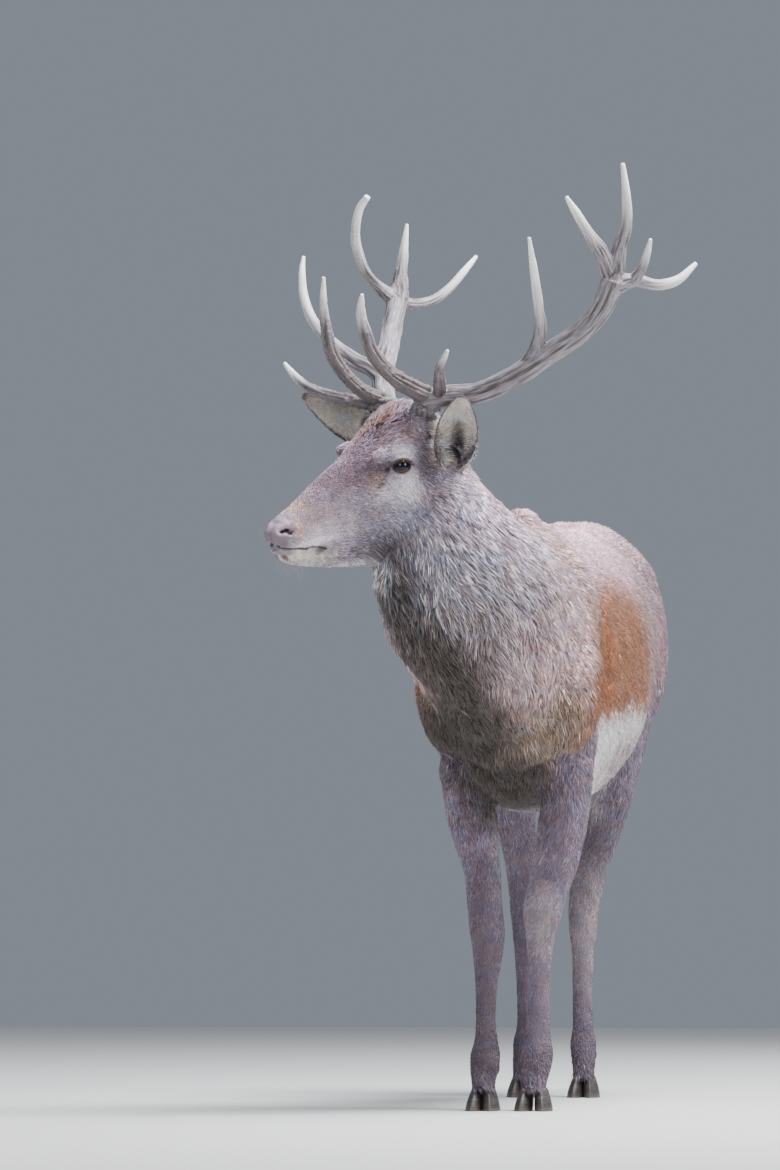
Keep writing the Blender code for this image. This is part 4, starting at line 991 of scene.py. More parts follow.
HEAD_PATCHES = [
    (BROW, (0.02, 0, 0.08), (0.105, 0.066, 0.062), 0.8, 0.6),
    (BROW, (0.13, 0, 0.025), (0.12, 0.052, 0.06), 0.85, 0.6),
    (BROW, (0.1, 0.048, 0.0), (0.09, 0.03, 0.034), 0.6, 0.8, BOTH),
    (TAN, (0.175, 0.04, -0.062), (0.05, 0.04, 0.02), 0.25, 0.8, BOTH),
    (PALE, (0.17, 0.046, -0.096), (0.06, 0.03, 0.022), 0.35, 0.8, BOTH),
    (PALE, (0.01, 0.08, -0.044), (0.044, 0.05, 0.026), 0.9, 0.9, BOTH),
    (PALE, (-0.014, 0.074, 0.028), (0.025, 0.04, 0.014), 0.88, 0.95, BOTH),
    # Painted light: the forehead beside the brow is paler than its coat, standing in for light where the
    # antlers cast shade.
    ((0.52, 0.4, 0.43), (-0.022, 0.062, 0.056), (0.032, 0.034, 0.024), 0.85, 0.9, BOTH),
    ((0.4, 0.31, 0.36), (0.043, 0.04, 0.034), (0.03, 0.02, 0.02), 0.7, 0.9, BOTH),
    ((0.5, 0.47, 0.56), (0.026, 0.07, -0.093), (0.045, 0.034, 0.026), 0.6, 0.9, BOTH),
    (BROW, (0.072, 0.07, 0.004), (0.036, 0.04, 0.02), 0.65, 0.8, BOTH),
    (TAN, (0.056, 0.07, -0.022), (0.022, 0.04, 0.022), 0.35, 0.8, BOTH),
    (LEG_DARK_AND_SHADE, (-0.054, 0.086, -0.014), (0.021, 0.045, 0.05), 0.9, 0.8, BOTH),
    (NAPE, (-0.085, 0.085, 0.02), (0.024, 0.04, 0.05), 0.45, 0.7, BOTH),
    (NECK_PALE, (-0.125, 0.075, -0.06), (0.03, 0.05, 0.075), 0.6, 0.8, BOTH),
    (PALE, (0.115, 0, -0.2), (0.12, 0.06, 0.032), 0.8, 0.6),
    (MANE_AND_SHADE, (-0.06, 0, -0.2), (0.07, 0.07, 0.06), 0.6, 0.8),
    (CREAM, (0.226, 0, -0.139), (0.066, 0.06, 0.0235), 1.0, 0.42),
    (PALE, (0.205, 0.044, -0.11), (0.045, 0.03, 0.0075), 0.6, 0.5, BOTH),
    (TAN, (0.236, 0.034, -0.078), (0.015, 0.026, 0.02), 0.65, 0.5, BOTH),
    (TAN, (0.225, 0, -0.035), (0.03, 0.05, 0.014), 0.6, 0.6),
    (RUST, (0.262, 0.014, -0.128), (0.0065, 0.008, 0.01), 0.9, 0.5, BOTH),
    (DARK, (0.19, 0.041, -0.129), (0.016, 0.016, 0.0085), 0.8, 0.45, BOTH),
    (POLL, (-0.008, -0.014, 0.088), (0.056, 0.042, 0.04), 0.95, 0.5),
    (RUST, (0.024, -0.008, 0.06), (0.022, 0.007, 0.022), 0.7, 0.6),
    (RUST, (-0.002, 0.003, 0.075), (0.022, 0.0075, 0.02), 0.85, 0.6),
    (RUST, (-0.034, 0.014, 0.09), (0.026, 0.008, 0.02), 0.8, 0.6),
    (DARK, (-0.08, 0.076, 0.062), (0.016, 0.024, 0.022), 0.85, 0.5, BOTH),
]


def towards(tone, colour, share):
    """The tone moved towards a colour by its share."""
    return tone * (1 - share) + np.array(colour) * share


def in_patch(places, middle, reach, soft, seed):
    """1 well inside an egg-shaped patch, 0 well outside, with an uneven edge."""
    far = np.linalg.norm((places - middle) / reach, axis=1)
    uneven = 0.16 * min(1, 0.08 / max(reach)) * ripple(places, min(0.25 * max(reach), 0.03), seed)
    return 1 - ramp(far + uneven, 1 - soft, 1 + soft)


def markings(places, shares):
    """The coat's colour at places, with painted top light on the back and painted shade on the right breast
    and right foreleg, and how bare the skin is there.
    """
    share = {name: shares[:, number, None] for number, name in enumerate(PARTS)}
    head_places = to_head(places)
    height = places[:, 2:3]
    tones = {
        # The trunk pales towards its top: partly its coat, partly painted top light.
        "trunk": towards(np.array(SHOULDER), BACK_AND_TOP_LIGHT, ramp(height, 0.98, 1.14)),
        "neck": towards(np.array(NECK_GREY), NECK_PALE, ramp(height, 0.92, 1.20)),
        "head": np.array(FACE),
        "tail": np.array(TAN),
        "ear_left": np.array(EAR_BACK),
        "ear_right": np.array(EAR_BACK),
    }
    throat_line = np.array([low for _, low, _ in NECK])
    throat = ramp(line_distance(places, throat_line), 0.100, 0.035)
    throat = throat * (0.40 + 0.56 * ramp(places[:, 2], 1.05, 0.87))
    tones["neck"] = towards(tones["neck"], MANE_AND_SHADE, throat[:, None])
    for name in LEGS:
        tones[name] = np.array(LEG_GREY) * (1 - 0.35 * ramp(height, 0.30, 0.10))
    tone = sum(share[name] * tones[name] for name in PARTS)
    on_head = np.flatnonzero(np.abs(head_places).max(1) < 0.42)
    for seed, (colour, middle, reach, strength, soft, *paired) in enumerate(BODY_PATCHES + HEAD_PATCHES):
        of_body = seed < len(BODY_PATCHES)
        for sign in (1, -1) if paired else (1,):
            spots = places if of_body else head_places[on_head]
            middle_here = np.array(middle) * ((sign, 1, 1) if of_body else (1, sign, 1))
            near = np.flatnonzero(np.abs((spots - middle_here) / reach).max(1) < 1.3 + soft)
            mask = strength * in_patch(spots[near], middle_here, reach, soft, 2 * seed + (sign < 0))[:, None]
            if not of_body:
                mask = mask * ramp(spots[near, :1], -0.160, -0.115)
                near = on_head[near]
            tone[near] += (np.array(colour) - tone[near]) * mask
    for name, reach, strength in (("tear", 0.0056, 0.95), ("lip", 0.0040, 0.45)):
        mask = strength * ramp(marked(places[on_head], name), reach, 0.4 * reach)[:, None]
        tone[on_head] += (np.array(LEG_DARK_AND_SHADE) * 0.5 - tone[on_head]) * mask
    return tone, bare_share(places, head_places)


def bare_share(places, head_places):
    """1 where the skin is bare: nose pad, lips, nostrils and the eyes' edges."""
    forward, left, up = head_places.T
    pad = ramp(forward + 0.12 * np.abs(left) + 0.35 * (up + 0.085), 0.2575, 0.2635)
    found = pad * ramp(up, -0.1075, -0.1025)
    for sign in SIDES.values():
        wing = (0.256, sign * 0.024, -0.0765)
        found = np.maximum(found, in_patch(head_places, wing, (0.017, 0.016, 0.0095), 0.3, 5 + (sign < 0)))
        ahead, upward, far = over_eye(places, sign)
        outside = np.full(len(places), 1.0)
        close = far < 0.045
        outside[close] = beyond_lids(ahead[close], upward[close])
        found = np.maximum(found, ramp(outside, 0.0034, 0.0014))
    near = np.flatnonzero(np.abs(head_places).max(1) < 0.30)
    for name in ("lip", "tear"):
        found[near] = np.maximum(found[near], ramp(marked(places[near], name), 0.0032, 0.0016))
    return found


def ear_inside(places, normals):
    """1 on the inner side of an ear's cup, 0 on its back; and 1 along its rim."""
    inside, rim = np.zeros(len(places)), np.zeros(len(places))
    for side in SIDES:
        root, length, along, facing, across = ear_axes(side)
        share = (places - root) @ along / length
        outline = np.array(EAR_OUTLINE)
        width = np.interp(share, outline[:, 0], outline[:, 1])
        curl = np.interp(share, outline[:, 0], outline[:, 2])
        radius = EAR_WIDTH / 2 * width / np.sin(np.radians(np.minimum(curl, 90)))
        shift = radius * 0.7 - EAR_BOW * np.sin(math.pi * np.clip(share, 0, 1))
        middle = root + np.outer(share * length, along) + np.outer(shift, facing)
        away = places - middle
        close = (share > 0.06) & (share < 1.05) & (np.linalg.norm(away, axis=1) < 1.6 * radius + 0.004)
        turned_in = ramp(-(normals * unit(away)).sum(1), -0.15, 0.25)
        angle = np.abs(np.arctan2(away @ across, -(away @ facing))) / np.radians(curl)
        edge = np.maximum(ramp(angle, 0.80, 0.93), ramp(share, 0.90, 0.97))
        inside = np.where(close, turned_in, inside)
        rim = np.where(close, edge, rim)
    return inside, rim


def tone_at(places, normals, shares):
    """The coat's full markings, ears' insides included, with painted shade deep in the ears' cups."""
    tone, bare = markings(places, shares)
    inside, rim = ear_inside(places, normals)
    # Painted shade: the ears' cups are darkened deep in their hollows, further along the left ear than the
    # right.
    hollow_shade = np.zeros(len(places))
    for side in SIDES:
        root, tip, facing = (np.array(value) for value in EARS[side])
        shares_in = (0.08, 0.26, 0.47 if side == "left" else 0.30)
        line = np.array([from_head(*(root + (tip - root) * share - facing * 0.010)) for share in shares_in])
        hollow_shade = np.maximum(hollow_shade, ramp(line_distance(places, line), 0.023, 0.009))
    shaded_lining = towards(np.array(EAR_LINING), EAR_HOLLOW_SHADE, hollow_shade[:, None])
    tone = towards(towards(tone, shaded_lining, inside[:, None]), EAR_RIM, 0.8 * rim[:, None])
    level = tone.mean(1, keepdims=True)
    return np.clip(level + 1.22 * (tone - level), 0.004, 0.95), bare, inside


# -------- unwrapping
# Where each part's unwrapped skin lies on the map: left, low, width, height.
CHARTS = {
    "trunk": (0.01, 0.01, 0.44, 0.48),
    "neck": (0.46, 0.01, 0.26, 0.38),
    "head": (0.01, 0.5, 0.44, 0.49),
    "tail": (0.73, 0.2, 0.13, 0.18),
    "ear_left": (0.73, 0.01, 0.13, 0.18),
    "ear_right": (0.87, 0.01, 0.12, 0.18),
    "foreleg_left": (0.46, 0.4, 0.13, 0.59),
    "foreleg_right": (0.6, 0.4, 0.13, 0.59),
    "hindleg_left": (0.74, 0.4, 0.125, 0.59),
    "hindleg_right": (0.87, 0.4, 0.125, 0.59),
}


def unwrapped(places, part):
    """Round and along a part: places on its chart, from 0 to 1 each way."""
    rows = GUIDES[part]
    headings, sides, ups = frames_along(rows[:, :3])
    travelled = way_come(rows[:, :3])
    nearest = ((places[:, None, :] - rows[None, :, :3]) ** 2).sum(2).argmin(1)
    offsets = places - rows[nearest, :3]
    ahead = (offsets * headings[nearest]).sum(1)
    across = offsets - ahead[:, None] * headings[nearest]
    cap = np.maximum(0, rows[nearest, 3] - np.linalg.norm(across, axis=1))
    cap = np.where(nearest == 0, -cap, np.where(nearest == len(rows) - 1, cap, 0))
    whole = travelled[-1] + 1.2 * (rows[0, 3] + rows[-1, 3])
    along = (travelled[nearest] + ahead + cap + 1.2 * rows[0, 3]) / whole
    angle = np.arctan2((across * sides[nearest]).sum(1), (across * ups[nearest]).sum(1)) / (2 * math.pi) + 0.5
    return angle, np.clip(along, 0, 1)


def on_map(angle, along, part):
    left, low, width, height = CHARTS[part]
    return np.stack([left + width * np.clip(angle, -0.02, 1.02), low + height * along], 1)


def unwrap_skin(mesh):
    """The skin's OFBake map, part by part, each opened along one line."""
    layer = mesh.uv_layers.new(name="OFBake")
    corners = np.empty(len(mesh.loops), np.int64)
    mesh.loops.foreach_get("vertex_index", corners)
    totals = np.empty(len(mesh.polygons), np.int64)
    mesh.polygons.foreach_get("loop_total", totals)
    owner = np.repeat(np.arange(len(totals)), totals)
    places = places_of(mesh)
    centres = np.stack([np.bincount(owner, places[corners, axis]) for axis in range(3)], 1) / totals[:, None]
    parts = coat_at(centres)[3].argmax(1)
    found = np.zeros((len(corners), 2))
    for number, part in enumerate(PARTS):
        mine = parts[owner] == number
        if mine.any():
            middle, _ = unwrapped(centres, part)
            angle, along = unwrapped(places[corners[mine]], part)
            angle = angle - np.round(angle - middle[owner[mine]])
            found[mine] = on_map(angle, along, part)
    layer.uv.foreach_set("vector", found.ravel())


# -------- the coat
TUFT_SEED, BRISTLE_SEED = 11, 31
LONG_PIECE, SHORT_PIECE = 15500, 47000  # how many tufts one piece holds at most
LONG_TUFT = 0.034  # longer tufts bend twice


def sow(skin, lengths):
    """Roots over the skin, closer where the coat is shorter: their places, their normals and the random draw
    that sowed them.
    """
    draw = np.random.default_rng(TUFT_SEED)
    mesh = skin.data
    mesh.calc_loop_triangles()
    corners = np.empty(len(mesh.loop_triangles) * 3, np.int64)
    mesh.loop_triangles.foreach_get("vertices", corners)
    corners = corners.reshape(-1, 3)
    places, normals = places_of(mesh), normals_of(mesh)
    one, two, three = (places[corners[:, side]] for side in range(3))
    area = np.linalg.norm(np.cross(two - one, three - one), axis=1) / 2
    length = lengths[corners].mean(1)
    spacing = np.clip(0.00138 + 0.080 * length, 0.00190, 0.0041)
    wanted = area / spacing ** 2
    count = np.floor(wanted + draw.random(len(wanted))).astype(int)
    owner = np.repeat(np.arange(len(count)), count)
    share = draw.random((len(owner), 2))
    folded = share.sum(1) > 1
    share[folded] = 1 - share[folded]
    share = np.column_stack([1 - share.sum(1), share])
    roots = (places[corners[owner]] * share[:, :, None]).sum(1)
    upright = unit((normals[corners[owner]] * share[:, :, None]).sum(1))
    return roots, upright, draw


def hoof_offset(places):
    """How far places lie behind the middle of the nearest hoof."""
    middles = np.array([sections[-1][0] for sections in LEGS.values()])
    nearest = ((places[:, None, :2] - middles[None, :, :2]) ** 2).sum(2).argmin(1)
    return places[:, 1] - middles[nearest, 1]


def coat_sizes(roots, upright, length, depth, on_head, inside):
    """The coat's length and depth, changed where a part asks for it, and how far the poll reaches."""
    head_places = to_head(roots)
    jaw = on_head * ramp(-head_places[:, 2], 0.120, 0.175)
    poll = on_head * in_patch(head_places, (-0.035, 0, 0.100), (0.060, 0.055, 0.050), 0.5, 61)
    eyes = [np.linalg.norm(roots - from_head(0, sign * EYE_SIDE, 0), axis=1) for sign in SIDES.values()]
    eyes = np.min(eyes, 0)
    lips = np.full(len(roots), 1.0)
    near = np.flatnonzero(np.abs(head_places).max(1) < 0.30)
    lips[near] = marked(roots[near], "lip")
    _, rim = ear_inside(roots, upright)
    length = length * (0.42 + 0.58 * ramp(eyes, 0.024, 0.055)) * (0.36 + 0.64 * ramp(lips, 0.002, 0.018))
    length = length * (1 + 0.7 * jaw + 1.2 * poll) * (1 + 0.9 * ramp(roots[:, 2], 0.085, 0.056))
    length = (length + 0.0035 * inside) * (1 - 0.55 * rim)
    depth = depth * (0.5 + 0.5 * ramp(eyes, 0.024, 0.050)) + 0.0030 * jaw + 0.006 * poll + 0.0010 * inside
    return length, depth, poll


def gather(line, roots, length, shaggy, draw):
    """Draws the tips of longer tufts together into locks; gives each tuft its lock's own shade."""
    cell = np.where(length > 0.026, 0.017, 0.010)
    keys = np.floor(roots / cell[:, None] + 0.35 * ripple(roots, 0.02, 74)[:, None]).astype(np.int64)
    keys = keys @ np.array((73856093, 19349663, 83492791)) + (cell > 0.012)  # one number for each cell
    _, lock = np.unique(keys, return_inverse=True)
    size = np.bincount(lock)
    pull = shaggy * draw.uniform(0.25, 0.75, len(roots))
    for step, strength in ((2, 0.45), (3, 1.0)):
        middle = np.stack([np.bincount(lock, line[step][:, axis]) for axis in range(3)], 1) / size[:, None]
        line[step] = line[step] + (middle[lock] - line[step]) * (pull * strength)[:, None]
    return draw.normal(0, 1, len(size))[lock]


def shaded(tone, roots, length, shaggy, shares, lock_shade, draw):
    """The tufts' colours, mottled and grizzled with lighter and darker hairs."""
    count = len(roots)
    mottle = 0.11 * ripple(roots, 0.060, 75) + 0.08 * ripple(roots, 0.018, 76) - 0.05
    mottle += (0.06 + 0.25 * shaggy) * ripple(roots * (1, 1, 0.22), 0.0095, 78)
    rough = 0.13 + 0.17 * ramp(length, 0.006, 0.018)
    shade = np.exp(draw.normal(0, 1, count) * rough + shaggy * 0.26 * lock_shade + mottle)
    warm = 0.07 * draw.normal(0, 1, count) + 0.09 * ripple(roots, 0.045, 77) - 0.02
    neck, head = (shares[:, PARTS.index(part)] for part in ("neck", "head"))
    grizzled = np.clip(neck * 1.1 + head * 0.55 + 0.18, 0, 1)
    chance = draw.random(count)
    shade = np.where(chance < 0.12 * grizzled, shade * 1.7, shade)
    shade = np.where(chance > 1 - 0.17 * grizzled, shade * 0.40, shade)
    return np.clip(tone * shade[:, None] * np.exp(np.outer(warm, (0.55, -0.15, -0.80))), 0.004, 0.92)


def grow(skin):
    """Every tuft's middle line, width and colours, as one table."""
    roots, upright, draw = sow(skin, coat_at(places_of(skin.data))[1])
    lie, length, depth, shares = coat_at(roots)
    tone, bare, inside = tone_at(roots, upright, shares)
    length, depth, poll = coat_sizes(roots, upright, length, depth, shares[:, PARTS.index("head")], inside)
    kept = draw.random(len(roots)) > ramp(bare, 0.25, 0.75)
    kept &= roots[:, 2] > HAIR_LINE - HAIR_LINE_SLOPE * hoof_offset(roots)
    roots, upright, lie, length, depth, shares, tone, poll = (
        values[kept] for values in (roots, upright, lie, length, depth, shares, tone, poll)
    )
    count = len(roots)
    swirl = 0.30 * ripple(roots, 0.110, 71) + 0.16 * ripple(roots, 0.030, 72) + draw.normal(0, 0.13, count)
    swirl += poll * 1.1 * ripple(roots, 0.035, 73)
    lie = unit(lie - upright * (lie * upright).sum(1, keepdims=True))
    side = np.cross(upright, lie)
    lie = lie * np.cos(swirl)[:, None] + side * np.sin(swirl)[:, None]
    side = np.cross(upright, lie)
    length = length * draw.uniform(0.70, 1.18, count)
    stand = depth * np.clip(draw.normal(0.85, 0.22, count), 0.3, 1.5)
    width = np.clip(0.00060 + 0.022 * length, 0.0007, 0.0013) * draw.uniform(0.70, 1.30, count)
    line = [roots - upright * 0.0018]
    for ahead, rise in ((0.34, 0.60), (0.68, 0.92), (0.98, 0.98)):
        line.append(roots + lie * (ahead * length)[:, None] + upright * (rise * stand)[:, None])
    shaggy = ramp(length, 0.014, 0.040)
    lock_shade = gather(line, roots, length, shaggy, draw)
    tone = shaded(tone, roots, length, shaggy, shares, lock_shade, draw)
    return {"line": line, "up": upright, "side": side, "width": width, "length": length, "tone": tone,
            "root": roots, "part": shares.argmax(1)}


def tuft_layout(long):
    """Corners of one tuft as (step along the line, sideways, upwards, brightness) and its faces."""
    if not long:
        return [(0, 0, 0, 0.50), (1, 0.5, 0.12, 0.92), (1, -0.5, 0.12, 0.92), (3, 0, 0, 1.22)], [
            (0, 1, 2), (1, 3, 2), (0, 3, 1), (0, 2, 3)]
    root, tip = (0, 0, 0, 0.45), (3, 0, 0, 1.22)
    first = [(1, 0.5, 0, 0.80), (1, 0, 0.42, 0.95), (1, -0.5, 0, 0.80)]
    second = [(2, 0.40, 0, 1.0), (2, 0, 0.34, 1.12), (2, -0.40, 0, 1.0)]
    faces = [(0, 2, 1), (0, 3, 2), (0, 1, 3), (1, 2, 5), (1, 5, 4), (2, 3, 6), (2, 6, 5), (3, 1, 4),
             (3, 4, 6), (4, 5, 7), (5, 6, 7), (6, 4, 7)]
    return [root, *first, *second, tip], faces


def tuft_piece(name, coat, chosen, long, finish):
    """Chosen tufts as one mesh, each a thin closed lock with its patch on the OFBake map."""
    corners, faces = tuft_layout(long)
    count, size = len(chosen), len(corners)
    places = np.empty((count, size, 3))
    tones = np.ones((count, size, 4))
    patch = np.empty((count, size, 2))
    spot = coat["map"][chosen]
    for number, (step, sideways, upwards, bright) in enumerate(corners):
        width = coat["width"][chosen][:, None]
        across, above = coat["side"][chosen] * sideways * width, coat["up"][chosen] * upwards * width
        places[:, number] = coat["line"][step][chosen] + across + above
        tones[:, number, :3] = coat["tone"][chosen] * bright
        patch[:, number] = spot + 0.0015 * np.array((-2 * sideways, step / 1.5 - 1 + 0.3 * upwards))
    mesh = bpy.data.meshes.new(name)
    mesh.vertices.add(count * size)
    mesh.vertices.foreach_set("co", places.ravel())
    index = (np.array(faces)[None] + (np.arange(count) * size)[:, None, None]).ravel()
    mesh.loops.add(len(index))
    mesh.loops.foreach_set("vertex_index", index)
    mesh.polygons.add(len(index) // 3)
    mesh.polygons.foreach_set("loop_start", np.arange(0, len(index), 3))
    mesh.update(calc_edges=True)
    mesh.shade_smooth()
    mark(mesh, "tone", "FLOAT_COLOR", np.clip(tones, 0, 1))
    layer = mesh.uv_layers.new(name="OFBake")
    layer.uv.foreach_set("vector", patch.reshape(-1, 2)[index].ravel())
    mesh.materials.append(finish)
    return new_object(name, mesh)


def make_coat(skin, finish):
    """The tufts, dealt out over a few pieces that each cover the whole deer."""
    coat = grow(skin)
    coat["map"] = np.zeros((len(coat["root"]), 2))
    for number, part in enumerate(PARTS):
        mine = coat["part"] == number
        if mine.any():
            coat["map"][mine] = on_map(*unwrapped(coat["root"][mine], part), part)
    pieces = []
    long = coat["length"] > LONG_TUFT
    for label, some, most in (("coat_long", long, LONG_PIECE), ("coat_short", ~long, SHORT_PIECE)):
        some = np.flatnonzero(some)
        parts = math.ceil(len(some) / most)
        for number in range(parts):
            name = f"{label}_{number + 1}"
            pieces.append(tuft_piece(name, coat, some[number::parts], label == "coat_long", finish))
    return pieces


def paint_skin(mesh, dim=0.75):
    """Gives the skin the coat's markings, a little darker, and marks where it is bare."""
    places = places_of(mesh)
    tone, bare, _ = tone_at(places, normals_of(mesh), coat_at(places)[3])
    tone = tone * (dim + (1 - dim) * bare)[:, None]
    head_places = to_head(places)
    pad = (bare * ramp(head_places[:, 0], 0.15, 0.20))[:, None]
    # The nose pad is paler towards its top and darker towards its lip: partly its own tone, partly a painted
    # highlight on its top.
    tone = towards(tone, np.array(PAD) * (0.60 + 0.75 * ramp(head_places[:, 2:3], -0.098, -0.058)), pad)
    for sign in SIDES.values():
        rim = bare * (np.linalg.norm(head_places - (0, sign * EYE_SIDE, 0), axis=1) < 0.05)
        tone = towards(tone, (0.19, 0.14, 0.155), rim[:, None])
    for name, near, far, colour in (
        # Painted shade: the nostrils' openings are painted near black.
        ("nostril", 0.0030, 0.0056, (0.012, 0.008, 0.010)),
        ("lip", 0.0020, 0.0038, (0.075, 0.054, 0.055)),
        ("tear", 0.0016, 0.0034, (0.045, 0.032, 0.036)),
    ):
        tone = towards(tone, colour, ramp(marked(places, name), far, near)[:, None])
    colours = np.ones((len(tone), 4))
    colours[:, :3] = np.clip(tone, 0, 1)
    mark(mesh, "tone", "FLOAT_COLOR", colours)
    mark(mesh, "bare", "FLOAT", bare)


def thin_out(skin, triangles):
    """Takes faces from the skin where it is plain; the head keeps most of its own."""
    magnify(skin.data)
    step = skin.modifiers.new("thin", "DECIMATE")
    step.ratio = triangles / (2 * len(skin.data.polygons))
    step.use_collapse_triangulate = True
    applied(skin)
    magnify(skin.data, back=True)


# -------- antlers, eyes and hooves
def tine_table(side):
    """Points along every tine: place, radius, the frame there, the way come, and how near the tip."""
    table = []
    for number, (name, points) in enumerate(ANTLERS[side].items()):
        rows = smooth_rows(points, 8)
        headings, sides, ups = frames_along(rows[:, :3])
        travelled = way_come(rows[:, :3])
        share = travelled / travelled[-1]
        lower = name != "beam" and rows[0, 2] < 1.42
        tip = np.zeros(len(rows)) if name == "beam" else share ** (2.4 if lower else 0.8)
        low = np.exp(-travelled / 0.025) if name == "beam" else 0.85 * (1 - share ** 2) * lower
        table.append(np.column_stack([rows, sides, ups, headings, travelled + 0.7 * number, tip, low]))
    return np.vstack(table)


def make_antler(side, finish):
    """Beam, tines and burr grown together, with long grooves that fade towards the tips."""
    tines = ANTLERS[side]
    shapes = [tube(smooth_rows(points, 8), 24) for points in tines.values()]
    foot, top = (np.array(point[:3]) for point in tines["beam"][:2])
    heading = unit(top - foot)
    across = unit(np.cross(heading, (0, 1, 0)))
    burr_axes = np.array((across, np.cross(heading, across), heading))
    shapes.append(ball(top - heading * 0.006, (0.0300, 0.0300, 0.0095), burr_axes))
    antler = remeshed(piece("antler_" + side, joined(shapes), finish), ANTLER_VOXEL)
    relax(antler.data, 4)
    mesh = antler.data
    table = tine_table(side)
    places, found = places_of(mesh), []
    for start in range(0, len(places), 8000):
        spots = places[start : start + 8000]
        far = np.sqrt(((spots[:, None] - table[None, :, :3]) ** 2).sum(2)) / table[:, 3]
        found.append(table[far.argmin(1)])
    found = np.vstack(found)
    offsets = places - found[:, :3]
    across, above, ahead = ((offsets * found[:, first : first + 3]).sum(1) for first in (4, 7, 10))
    grain = np.column_stack([across, above, found[:, 13] + ahead])
    tip, low = found[:, 14], found[:, 15]
    groove = ripple(grain * (1, 1, 0.045), 0.0075, 81) + 0.6 * ripple(grain * (1, 1, 0.07), 0.0045, 82)
    depth = (0.00100 + 0.0007 * low) * (1 - 0.85 * ramp(tip, 0.35, 0.95))
    knots = np.clip(ripple(grain, 0.013, 83) - 0.35, 0, 1) * low * 0.0026
    move_to(mesh, places + normals_of(mesh) * (groove * depth + knots)[:, None])
    for name, values in (("groove", groove), ("tip", tip), ("low", low)):
        mark(mesh, name, "FLOAT", values)
    mark(mesh, "grain", "FLOAT_VECTOR", grain)
    mesh.shade_smooth()
    return antler


def make_eye(side, sign, finish):
    """An eyeball with its clear bulge, marked with the way it looks."""
    middle, look, corner, up = eye_frame(sign)
    corners, faces = sphere_shape(5)
    bulge = 1 + 0.045 * np.exp(-((np.arccos(np.clip(corners[:, 2], -1, 1)) / 0.55) ** 2))
    places = middle + (corners * bulge[:, None] * EYE_RADIUS * 0.985) @ np.array((corner, up, look))
    eye = piece("eyeball_" + side, (places, faces), finish)
    offsets = (places_of(eye.data) - middle) / EYE_RADIUS
    gaze = np.column_stack([offsets @ corner, offsets @ up, offsets @ look])
    mark(eye.data, "gaze", "FLOAT_VECTOR", gaze)
    eye.data.shade_smooth()
    return eye


def lid_line(sign, grown=0.0, out=0.0012):
    """The edge of the eyelids, as places on the eyeball."""
    middle, look, corner, up = eye_frame(sign)
    edge = opening_edge()
    level = np.hypot(*edge.T)[:, None]
    angle = (level + grown) / EYE_RADIUS
    around = (edge[:, :1] * corner + edge[:, 1:] * up) / level
    return middle + (EYE_RADIUS + out) * (look * np.cos(angle) + around * np.sin(angle))


def make_lid_edges(finish):
    """The dark, moist edges of the eyelids."""
    shapes = []
    for sign in SIDES.values():
        line = lid_line(sign)
        line = np.vstack([line, line[:2]])
        shapes.append(tube(np.column_stack([line, np.full(len(line), 0.0010)]), 12))
    made = piece("eyelid_edges", joined(shapes), finish)
    made.data.shade_smooth()
    return made


def make_hoof(name, leg, across, finish):
    """One claw of a cloven hoof: a flat pointed sole, a bowed wall with faint rings, and a rounded top."""
    (x, y, _), *_ = LEGS[leg][-1]
    rows = smooth_rows(CLAW_RINGS, 5)
    crown = [rows[-1] * (1, share, share, 1) + (rise, 0, 0, 0) for share, rise in CLAW_CROWN]
    rows = np.vstack([rows, crown])
    around = 48
    angles = 2 * math.pi * np.arange(around) / around
    toe = np.cos(angles)
    taper = 1 - 0.55 * np.maximum(toe, 0) ** 2
    corners = []
    for height, length, width, back in rows:
        ring = 1 + 0.008 * math.sin(height * 900)
        outer = 1 - 0.10 * (height / rows[-1][0]) ** 2
        bow = np.where(np.sin(angles) * across < 0, 1.06, taper * ring * outer)
        corners.append(np.column_stack([
            width / 2 * np.sin(angles) * bow - across * 0.11 * height,
            back - length / 2 * toe * ring,
            np.full(around, height),
        ]))
    corners = np.vstack(corners)
    cosine, sine = math.cos(across * CLAW_TURN), math.sin(across * CLAW_TURN)
    rotation = np.array(((cosine, sine, 0), (-sine, cosine, 0), (0, 0, 1)))
    places = corners @ rotation + (x + across * CLAW_SPREAD[leg], y, 0)
    places[:, 2] -= HAIR_LINE_SLOPE * (places[:, 1] - y) * corners[:, 2] / HAIR_LINE
    claw = piece(name, (places, walls(len(rows), around)), finish)
    edge = claw.modifiers.new("edge", "BEVEL")
    edge.width = 0.0012
    edge.segments = 2
    edge.limit_method = "ANGLE"
    applied(claw)
    claw.data.shade_smooth()
    return claw


def make_dewclaw(name, leg, across, finish):
    (x, y, z), *_ = LEGS[leg][-3]
    places, faces = ball((0, 0, 0), (0.0085, 0.011, 0.015), turned((-25, 0, 0)))
    places = places + (x + across * 0.0165, y + 0.028, z - 0.026)
    claw = piece(name, (places, faces), finish)
    claw.data.shade_smooth()
    return claw


# -------- materials
def feed(socket, value):
    """Sets an input, or links it where the value is a node or one of its outputs."""
    if isinstance(value, bpy.types.Node):
        value = value.outputs[0]
    if isinstance(value, bpy.types.NodeSocket):
        socket.id_data.links.new(value, socket)
    else:
        socket.default_value = value


def new_node(tree, kind, settings=None, **values):
    """A node with its settings and its inputs, each given by its name or by i and its number."""
    made = tree.nodes.new(kind)
    for name, value in (settings or {}).items():
        setattr(made, name, value)
    for name, value in values.items():
        numbered = name[0] == "i" and name[1:].isdigit()
        feed(made.inputs[int(name[1:]) if numbered else name.replace("_", " ")], value)
    return made


def maths(tree, operation, one, other):
    return new_node(tree, "ShaderNodeMath", {"operation": operation}, i0=one, i1=other)


